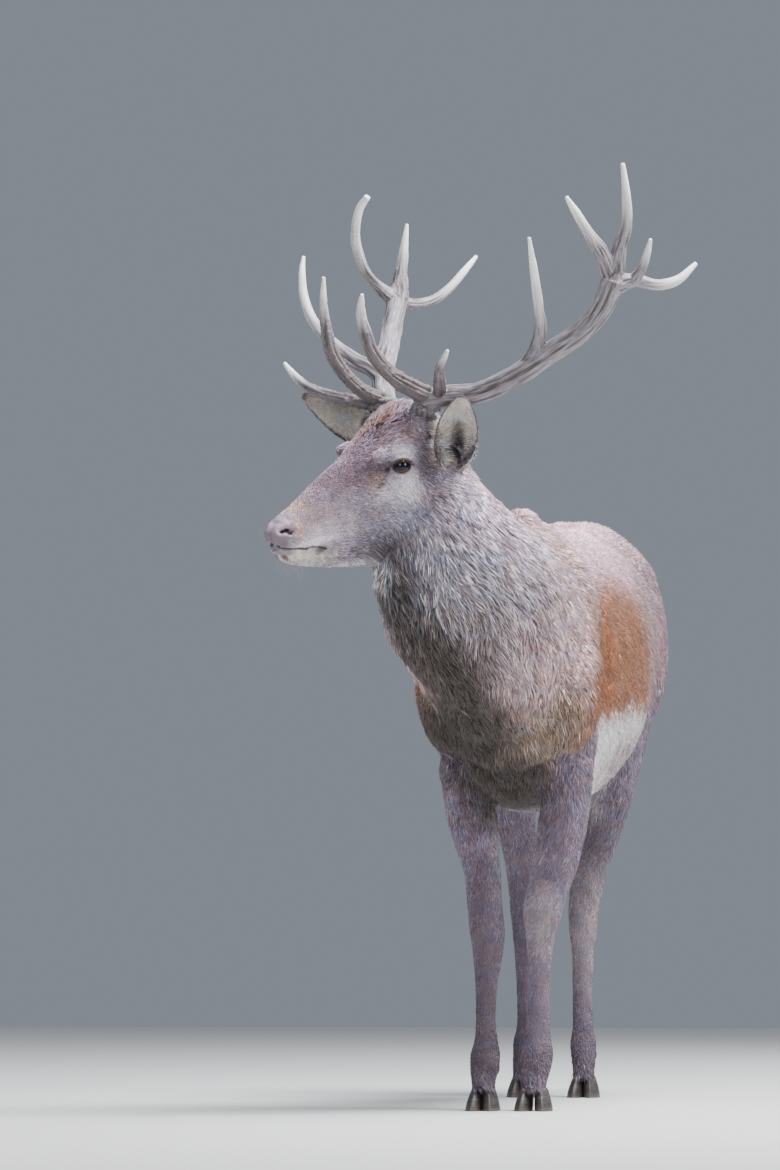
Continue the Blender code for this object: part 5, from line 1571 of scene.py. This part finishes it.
def stretched(tree, place, times):
    return new_node(tree, "ShaderNodeVectorMath", {"operation": "MULTIPLY"}, i0=place, i1=times)


def object_place(tree):
    return new_node(tree, "ShaderNodeTexCoord").outputs["Object"]


def clouds(tree, place, scale, detail, **more):
    return new_node(tree, "ShaderNodeTexNoise", Vector=place, Scale=scale, Detail=detail, **more)


def relief(tree, height, strength, distance, **more):
    return new_node(tree, "ShaderNodeBump", Height=height, Strength=strength, Distance=distance, **more)


def attribute(tree, name, socket="Color"):
    return new_node(tree, "ShaderNodeAttribute", {"attribute_name": name}).outputs[socket]


def blend(tree, share, one, other):
    """Mixes two colours."""
    return new_node(tree, "ShaderNodeMix", {"data_type": "RGBA"}, i0=share, i6=one, i7=other).outputs[2]


def spread_of(tree, value, low, high, start=0.0, end=1.0):
    """A value from low to high, spread over start to end."""
    return new_node(tree, "ShaderNodeMapRange", i0=value, i1=low, i2=high, i3=start, i4=end)


def group_of(name, kind, inputs, outputs):
    """An empty node group with its sockets: each a name, a kind and, where it needs one, a value."""
    made = bpy.data.node_groups.new(name, kind)
    for way, sockets in (("INPUT", inputs), ("OUTPUT", outputs)):
        for label, sort, *value in sockets:
            socket = made.interface.new_socket(label, in_out=way, socket_type="NodeSocket" + sort)
            if value:
                socket.default_value = value[0]
    return made, made.nodes.new("NodeGroupInput"), made.nodes.new("NodeGroupOutput")


def weathering_group():
    """Dust and wear: breaks a colour up with large and small clouds."""
    tree, given, found = group_of(
        "weathering", "ShaderNodeTree",
        [("Color", "Color"), ("Scale", "Float"), ("Amount", "Float")],
        [("Color", "Color"), ("Mask", "Float")],
    )
    cloud = clouds(tree, object_place(tree), given.outputs["Scale"], 5.0, Roughness=0.6)
    mask = spread_of(tree, cloud, 0.32, 0.68)
    dim = maths(tree, "SUBTRACT", 1.12, maths(tree, "MULTIPLY", mask, given.outputs["Amount"]))
    dimmed = new_node(
        tree, "ShaderNodeVectorMath", {"operation": "SCALE"}, i0=given.outputs["Color"], Scale=dim
    )
    feed(found.inputs["Color"], dimmed)
    feed(found.inputs["Mask"], mask)
    return tree


def grain_group():
    """Fine relief: a normal from small clouds."""
    tree, given, found = group_of(
        "grain", "ShaderNodeTree",
        [("Vector", "Vector"), ("Scale", "Float"), ("Strength", "Float"), ("Depth", "Float")],
        [("Normal", "Vector")],
    )
    along, scale, strength, depth = (given.outputs[number] for number in range(4))
    feed(found.inputs["Normal"], relief(tree, clouds(tree, along, scale, 4.0), strength, depth))
    return tree


def finish_with(name, roughness, specular):
    """A material with one shader, ready for its colour and its relief."""
    made = bpy.data.materials.new(name)
    made.use_nodes = True
    tree = made.node_tree
    shader = tree.nodes["Principled BSDF"]
    feed(shader.inputs["Roughness"], roughness)
    feed(shader.inputs["Specular IOR Level"], specular)
    return made, tree, shader


def use_group(tree, group, **values):
    return new_node(tree, "ShaderNodeGroup", {"node_tree": group}, **values)


def wear(tree, shader, weathering, colour, scale, amount):
    """Gives the shader a weathered colour."""
    worn = use_group(tree, weathering, Color=colour, Scale=scale, Amount=amount)
    feed(shader.inputs["Base Color"], worn)


def skin_finish(weathering):
    """Short flat coat in relief, and the pebbled bare skin of the nose."""
    made, tree, shader = finish_with("coat_skin", 0.62, 0.25)
    wear(tree, shader, weathering, attribute(tree, "tone"), 38.0, 0.26)
    bare = attribute(tree, "bare", "Fac")
    feed(shader.inputs["Roughness"], spread_of(tree, bare, 0.3, 0.9, 0.66, 0.30))
    place = object_place(tree)
    cells = new_node(tree, "ShaderNodeTexVoronoi", {"feature": "DISTANCE_TO_EDGE"}, Vector=place, Scale=420.0)
    pebble = relief(tree, maths(tree, "MULTIPLY", spread_of(tree, cells, 0.0, 0.12), bare), 0.55, 0.0006)
    fine = relief(tree, clouds(tree, place, 900.0, 3.0), 0.45, 0.0005, Normal=pebble)
    feed(shader.inputs["Normal"], fine)
    return made


def coat_finish(weathering):
    """The tufts: soft, slightly glossy hair."""
    made, tree, shader = finish_with("coat_hair", 0.58, 0.32)
    wear(tree, shader, weathering, attribute(tree, "tone"), 24.0, 0.16)
    feed(shader.inputs["Normal"], relief(tree, clouds(tree, object_place(tree), 1100.0, 2.0), 0.35, 0.0004))
    feed(shader.inputs["Sheen Weight"], 0.12)
    feed(shader.inputs["Sheen Roughness"], 0.45)
    return made


def antler_finish(weathering, grain):
    """Grooved bone: brown and stained low down, dark in the grooves, polished and pale at the tips."""
    made, tree, shader = finish_with("antler_bone", 0.55, 0.42)
    tip, low, groove = (attribute(tree, name, "Fac") for name in ("tip", "low", "groove"))
    along = stretched(tree, attribute(tree, "grain", "Vector"), (1, 1, 0.12))
    streak = spread_of(tree, clouds(tree, along, 310.0, 5.0, Roughness=0.65), 0.34, 0.64)
    body = blend(tree, streak, (0.130, 0.114, 0.124, 1), (0.320, 0.295, 0.325, 1))
    body = blend(tree, spread_of(tree, groove, 0.0, -1.1), body, (0.085, 0.066, 0.064, 1))
    body = blend(tree, spread_of(tree, low, 0.10, 0.85, 0.0, 0.85), body, (0.092, 0.070, 0.070, 1))
    body = blend(tree, spread_of(tree, tip, 0.42, 0.92, 0.0, 0.95), body, (0.900, 0.860, 0.850, 1))
    wear(tree, shader, weathering, body, 16.0, 0.34)
    feed(shader.inputs["Roughness"], spread_of(tree, tip, 0.5, 1.0, 0.58, 0.34))
    pores = use_group(tree, grain, Vector=along, Scale=520.0, Strength=0.50, Depth=0.0007)
    feed(shader.inputs["Normal"], pores)
    return made


def horn_finish(weathering, grain):
    """Hoof horn: near black, ringed, drier and paler at the sole's edge."""
    made, tree, shader = finish_with("hoof_horn", 0.46, 0.45)
    place = object_place(tree)
    up = new_node(tree, "ShaderNodeSeparateXYZ", Vector=place).outputs[2]
    along = stretched(tree, place, (0.10, 0.10, 1))
    rings = spread_of(tree, clouds(tree, along, 420.0, 3.0), 0.36, 0.64)
    body = blend(tree, rings, (0.020, 0.017, 0.017, 1), (0.062, 0.050, 0.046, 1))
    body = blend(tree, spread_of(tree, up, 0.013, 0.001, 0.0, 0.55), body, (0.150, 0.125, 0.100, 1))
    wear(tree, shader, weathering, body, 46.0, 0.45)
    ridges = use_group(tree, grain, Vector=along, Scale=420.0, Strength=0.45, Depth=0.0008)
    feed(shader.inputs["Normal"], ridges)
    return made


def eye_finish():
    """A glossy eye: dark blue slot of a pupil, amber iris with radial streaks, dark rim."""
    made, tree, shader = finish_with("eye_wet", 0.04, 0.12)
    gaze = new_node(tree, "ShaderNodeSeparateXYZ", Vector=attribute(tree, "gaze", "Vector"))
    across, upward = gaze.outputs[0], gaze.outputs[1]

    def length_of(one, other):
        pair = new_node(tree, "ShaderNodeCombineXYZ", i0=one, i1=other)
        return new_node(tree, "ShaderNodeVectorMath", {"operation": "LENGTH"}, i0=pair).outputs[1]

    out = length_of(across, upward)
    slot = length_of(maths(tree, "MULTIPLY", across, 0.60), upward)
    angle = maths(tree, "ARCTAN2", upward, across)
    spokes = stretched(tree, new_node(tree, "ShaderNodeCombineXYZ", i0=angle, i1=out), (9.0, 1.6, 1.0))
    fibre = spread_of(tree, clouds(tree, spokes, 3.2, 4.0), 0.35, 0.65)
    iris = blend(tree, fibre, (0.024, 0.011, 0.006, 1), (0.110, 0.048, 0.019, 1))
    iris = blend(tree, spread_of(tree, out, 0.60, 0.78), iris, (0.020, 0.012, 0.010, 1))
    body = blend(tree, spread_of(tree, slot, 0.40, 0.45), (0.003, 0.004, 0.009, 1), iris)
    body = blend(tree, spread_of(tree, out, 0.80, 0.90), body, (0.110, 0.085, 0.080, 1))
    feed(shader.inputs["Base Color"], body)
    feed(shader.inputs["Coat Weight"], 0.32)
    feed(shader.inputs["Coat Roughness"], 0.02)
    return made


def plain_finish(name, colour, roughness, weathering, specular=0.4, scale=90.0, amount=0.3):
    """One weathered colour."""
    made, tree, shader = finish_with(name, roughness, specular)
    wear(tree, shader, weathering, (*colour, 1), scale, amount)
    return made


# -------- what repeats: bristles and pearls
GEOMETRY = ("Geometry", "Geometry")


def named(tree, name, kind="FLOAT"):
    return new_node(tree, "GeometryNodeInputNamedAttribute", {"data_type": kind}, Name=name)


def end_nodes(tree, given, found, placed):
    """Makes the instances real and smooth, in their material."""
    real = new_node(tree, "GeometryNodeRealizeInstances", Geometry=placed)
    dressed = new_node(tree, "GeometryNodeSetMaterial", Geometry=real, Material=given.outputs["Material"])
    feed(found.inputs[0], new_node(tree, "GeometryNodeSetShadeSmooth", Geometry=dressed))
    return tree


def bristle_nodes():
    """A curved bristle on every point, along its lie and as long as its reach."""
    tree, given, found = group_of(
        "bristles", "GeometryNodeTree",
        [GEOMETRY, ("Thickness", "Float", 0.01), ("Bend", "Float", 0.2), ("Material", "Material")],
        [GEOMETRY],
    )
    thickness = given.outputs["Thickness"]
    cone = new_node(tree, "GeometryNodeMeshCone", {"fill_type": "NGON"}, Vertices=5, Side_Segments=7,
                    Radius_Top=0.12, Radius_Bottom=1.0, Depth=1.0)
    split = new_node(tree, "ShaderNodeSeparateXYZ", i0=new_node(tree, "GeometryNodeInputPosition"))
    x, y, z = split.outputs
    sagged = maths(tree, "MULTIPLY", maths(tree, "POWER", z, 2.0), given.outputs["Bend"])
    wide = maths(tree, "ADD", maths(tree, "MULTIPLY", x, thickness), sagged)
    thick = maths(tree, "MULTIPLY", y, thickness)
    bent = new_node(tree, "ShaderNodeCombineXYZ", i0=wide, i1=thick, i2=z)
    shaped = new_node(tree, "GeometryNodeSetPosition", Geometry=cone, Position=bent)
    lie = named(tree, "lie", "FLOAT_VECTOR")
    turn = new_node(tree, "FunctionNodeAlignRotationToVector", {"axis": "Z"}, Vector=lie)
    points = new_node(tree, "GeometryNodeMeshToPoints", Mesh=given)
    placed = new_node(tree, "GeometryNodeInstanceOnPoints", Points=points, Instance=shaped, Rotation=turn,
                      Scale=named(tree, "reach"))
    return end_nodes(tree, given, found, placed)


def pearl_nodes():
    """Small rounded pearls over the low part of an antler."""
    tree, given, found = group_of(
        "pearls", "GeometryNodeTree",
        [GEOMETRY, ("Density", "Float", 9000.0), ("Size", "Float", 0.0022), ("Seed", "Int", 5),
         ("Material", "Material")],
        [GEOMETRY],
    )
    seed = given.outputs["Seed"]
    spots = new_node(
        tree, "GeometryNodeDistributePointsOnFaces", {"distribute_method": "POISSON"}, Mesh=given,
        Distance_Min=0.0030, Density_Max=given.outputs["Density"],
        Density_Factor=spread_of(tree, named(tree, "low"), 0.30, 0.95), Seed=seed,
    )
    bead = new_node(tree, "GeometryNodeMeshIcoSphere", Radius=1.0, Subdivisions=2)
    spread = new_node(tree, "FunctionNodeRandomValue", {"data_type": "FLOAT"}, i2=0.45, i3=1.0, Seed=seed)
    size = maths(tree, "MULTIPLY", spread.outputs[1], given.outputs["Size"])
    scale = new_node(tree, "ShaderNodeCombineXYZ", i0=size, i1=size, i2=maths(tree, "MULTIPLY", size, 0.62))
    placed = new_node(tree, "GeometryNodeInstanceOnPoints", Points=spots, Instance=bead,
                      Rotation=spots.outputs[2], Scale=scale)
    return end_nodes(tree, given, found, placed)


def grown_from(name, source, group, values):
    """What a nodes group makes of an object's mesh, as an object of its own."""
    step = source.modifiers.new("grow", "NODES")
    step.node_group = group
    for item in group.interface.items_tree:
        if item.in_out == "INPUT" and item.name in values:
            step[item.identifier] = values[item.name]
    graph = bpy.context.evaluated_depsgraph_get()
    mesh = bpy.data.meshes.new_from_object(source.evaluated_get(graph), depsgraph=graph)
    source.modifiers.clear()
    return new_object(name, mesh)


def bristles(name, group, rows, thickness, bend, finish):
    """Bristles from rows of root, lie and length."""
    roots, lies, reaches = zip(*rows)
    mesh = bpy.data.meshes.new(name + "_roots")
    mesh.from_pydata([tuple(root) for root in roots], [], [])
    mark(mesh, "lie", "FLOAT_VECTOR", lies)
    mark(mesh, "reach", "FLOAT", reaches)
    source = new_object(name + "_roots", mesh)
    made = grown_from(name, source, group, {"Thickness": thickness, "Bend": bend, "Material": finish})
    bpy.data.objects.remove(source)
    return made


# Where the whiskers stand, on each side: the bed's middle, its reach, how many, the way they point, the
# shortest and the longest.
WHISKER_BEDS = [
    ((0.245, 0.034, -0.088), (0.018, 0.006, 0.013), 26, (0.25, 0.85, -0.15), 0.016, 0.042),
    ((0.268, 0.016, -0.104), (0.008, 0.01, 0.004), 10, (0.7, 0.45, -0.55), 0.01, 0.022),
    ((0.245, 0.016, -0.143), (0.026, 0.012, 0.006), 34, (0.15, 0.25, -0.95), 0.015, 0.045),
    ((0.215, 0.036, -0.122), (0.024, 0.006, 0.008), 16, (0.1, 0.75, -0.6), 0.012, 0.034),
    ((0.02, 0.074, -0.036), (0.024, 0.006, 0.007), 9, (0.1, 0.9, -0.4), 0.02, 0.048),
    ((0.012, 0.072, 0.04), (0.02, 0.006, 0.006), 8, (0.25, 0.7, 0.65), 0.02, 0.052),
]


def whisker_rows(skin, draw):
    """Whiskers on the muzzle and chin, and the long hairs over and under the eyes."""
    for middle, reach, count, way, shortest, longest in WHISKER_BEDS:
        for sign in [sign for sign in SIDES.values() for _ in range(count)]:
            spot = (np.array(middle) + draw.uniform(-1, 1, 3) * reach) * (1, sign, 1)
            near = skin.closest_point_on_mesh(Vector(from_head(*spot)))
            upright = np.array(near[2])
            lie = unit(np.array(way) * (1, sign, 1)) @ HEAD_AXES
            lie = unit(lie + 0.35 * upright + draw.normal(0, 0.16, 3))
            if lie.dot(upright) < 0.15:
                lie = unit(lie + upright * (0.3 - lie.dot(upright)))
            yield np.array(near[1]) - upright * 0.001, lie, draw.uniform(shortest, longest)


def lash_rows(draw):
    """Long lashes along the upper lid and short ones along the lower."""
    for sign in SIDES.values():
        middle, look, corner, up = eye_frame(sign)
        edge = lid_line(sign, grown=0.0011, out=0.0022)
        count = len(edge)
        for number in [number for number in range(4, count // 2 - 2) for _ in range(3)]:
            spot = edge[number] * 0.5 + edge[number + 1] * 0.5 + draw.normal(0, 0.0005, 3)
            outward = unit(spot - middle - look * look.dot(spot - middle))
            lie = 0.75 * look + 0.55 * outward - 0.30 * up + 0.15 * corner + draw.normal(0, 0.10, 3)
            yield spot - look * 0.001, unit(lie), draw.uniform(0.008, 0.017)
        for number in range(count // 2 + 6, count - 6, 2):
            spot = edge[number] + draw.normal(0, 0.0004, 3)
            outward = unit(spot - middle - look * look.dot(spot - middle))
            lie = 0.60 * look + 0.65 * outward + draw.normal(0, 0.12, 3)
            yield spot - look * 0.001, unit(lie), draw.uniform(0.004, 0.008)


def make_bristles(skin, group, whisker_hair, lash_hair):
    draw = np.random.default_rng(BRISTLE_SEED)
    whiskers = bristles("whiskers", group, whisker_rows(skin, draw), 0.0085, 0.22, whisker_hair)
    lashes = bristles("lashes", group, lash_rows(draw), 0.020, -0.22, lash_hair)
    return whiskers, lashes


# -------- studio
def soft_light(name, place, aim, size, power, colour):
    light = bpy.data.lights.new(name, "AREA")
    light.shape = "DISK"
    light.size = size
    light.energy = power
    light.color = colour
    lamp = new_object(name, light)
    lamp.location = place
    lamp.rotation_euler = (Vector(aim) - Vector(place)).to_track_quat("-Z", "Y").to_euler()


def studio():
    """A pale floor and soft lights."""
    paper, _, shader = finish_with("floor_paper", 0.85, 0.5)
    feed(shader.inputs["Base Color"], (0.66, 0.66, 0.65, 1))
    corners = np.array([(-9.0, -9, 0), (9, -9, 0), (9, 9, 0), (-9, 9, 0)])
    piece("floor", (corners, [(0, 1, 2, 3)]), paper)
    world = bpy.data.worlds.new("studio")
    world.use_nodes = True
    sky = world.node_tree.nodes["Background"]
    feed(sky.inputs["Color"], (0.76, 0.85, 1.0, 1))
    feed(sky.inputs["Strength"], 0.30)
    bpy.context.scene.world = world
    soft_light("softbox_top", (1.4, -1.0, 4.8), (0, 0, 1.0), 2.6, 650, (0.98, 0.985, 1.0))
    soft_light("softbox_right", (4.4, -1.6, 2.6), (0, 0, 1.0), 2.2, 135, (1.0, 0.98, 0.97))
    soft_light("softbox_front", (0.4, -5.6, 2.4), (0, -0.4, 1.1), 2.4, 74, (0.98, 0.98, 1.0))
    soft_light("softbox_left", (-4.2, -1.5, 2.4), (0, 0, 1.0), 2.6, 24, (0.92, 0.96, 1.0))
    soft_light("softbox_back", (2.2, 4.4, 3.6), (0, 0, 1.1), 2.4, 190, (0.96, 0.97, 1.0))


def camera():
    """A long lens at knee height, ahead of the deer and a little to its left."""
    seen = bpy.data.cameras.new("camera")
    seen.sensor_fit = "VERTICAL"
    seen.sensor_height = 24
    seen.lens = 164.1
    seen.clip_end = 60
    lens = new_object("camera", seen)
    bearing = math.radians(8)
    ahead = Vector((-math.sin(bearing), math.cos(bearing), 0))
    right = Vector((math.cos(bearing), math.sin(bearing), 0))
    aim = ahead - right * 0.019375 + Vector((0, 0, 0.0375))
    lens.location = Vector((2.285, -16.256, 0.45)) + Vector(SHIFT)
    lens.rotation_euler = aim.to_track_quat("-Z", "Y").to_euler()
    bpy.context.scene.camera = lens


# -------- dressing the deer
low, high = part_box("eye_left")
SHIFT = (np.array(low) + np.array(high)) / 2 - from_head(0, EYE_SIDE, 0)

weathering, grain = weathering_group(), grain_group()
coat_skin, coat_hair = skin_finish(weathering), coat_finish(weathering)
antler_bone, hoof_horn = antler_finish(weathering, grain), horn_finish(weathering, grain)
antler_pearls = plain_finish("antler_pearls", (0.140, 0.115, 0.110), 0.52, weathering, 0.42, 60.0, 0.5)
eye_wet = eye_finish()
lid_moist = plain_finish("lid_moist", (0.060, 0.044, 0.050), 0.22, weathering)
whisker_hair = plain_finish("whisker_hair", (0.30, 0.26, 0.25), 0.45, weathering)
lash_hair = plain_finish("lash_hair", (0.020, 0.015, 0.015), 0.40, weathering)

skin = make_skin()
inset_skin(skin)
press(skin, BODY_STROKES, np.flatnonzero(places_of(skin.data)[:, 2] < 1.24))
model_head(skin)
lay_lines(skin)
rides = [("coat", made) for made in make_coat(skin, coat_hair)]
rides += [("coat", made) for made in make_bristles(skin, bristle_nodes(), whisker_hair, lash_hair)]
thin_out(skin, SKIN_TRIANGLES)
paint_skin(skin.data)
unwrap_skin(skin.data)
skin.data.materials.append(coat_skin)
skin.data.shade_smooth()
rides.append(("coat", skin))
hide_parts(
    "head", "neck", "trunk", "tail", "ear_left", "ear_right",
    *[f"{leg}_{part}" for leg in LEGS for part in ("upper", "cannon")],
)

pearl_group = pearl_nodes()
for side, sign in SIDES.items():
    antler = make_antler(side, antler_bone)
    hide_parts(*[f"antler_{side}_{tine}" for tine in ANTLERS[side]])
    pearls = grown_from("pearls_" + side, antler, pearl_group,
                        {"Density": 9000.0, "Size": 0.0019, "Seed": 5, "Material": antler_pearls})
    rides += [("antler", antler), ("antler", pearls)]
    eye = make_eye(side, sign, eye_wet)
    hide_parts("eye_" + side)
    rides.append(("eye", eye))
rides.append(("eye", make_lid_edges(lid_moist)))
for leg in LEGS:
    for side, across in SIDES.items():
        claw = make_hoof(f"{leg}_hoof_{side}", leg, across, hoof_horn)
        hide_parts(f"{leg}_claw_{side}")
        rides.append(("hoof", claw))
        toe = make_dewclaw(f"{leg}_toe_{side}", leg, across, hoof_horn)
        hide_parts(f"{leg}_dewclaw_{side}")
        rides.append(("hoof", toe))

for slot, made in rides:
    made.data.transform(Matrix.Translation(Vector(SHIFT)))
    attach(made, "root")

studio()
camera()
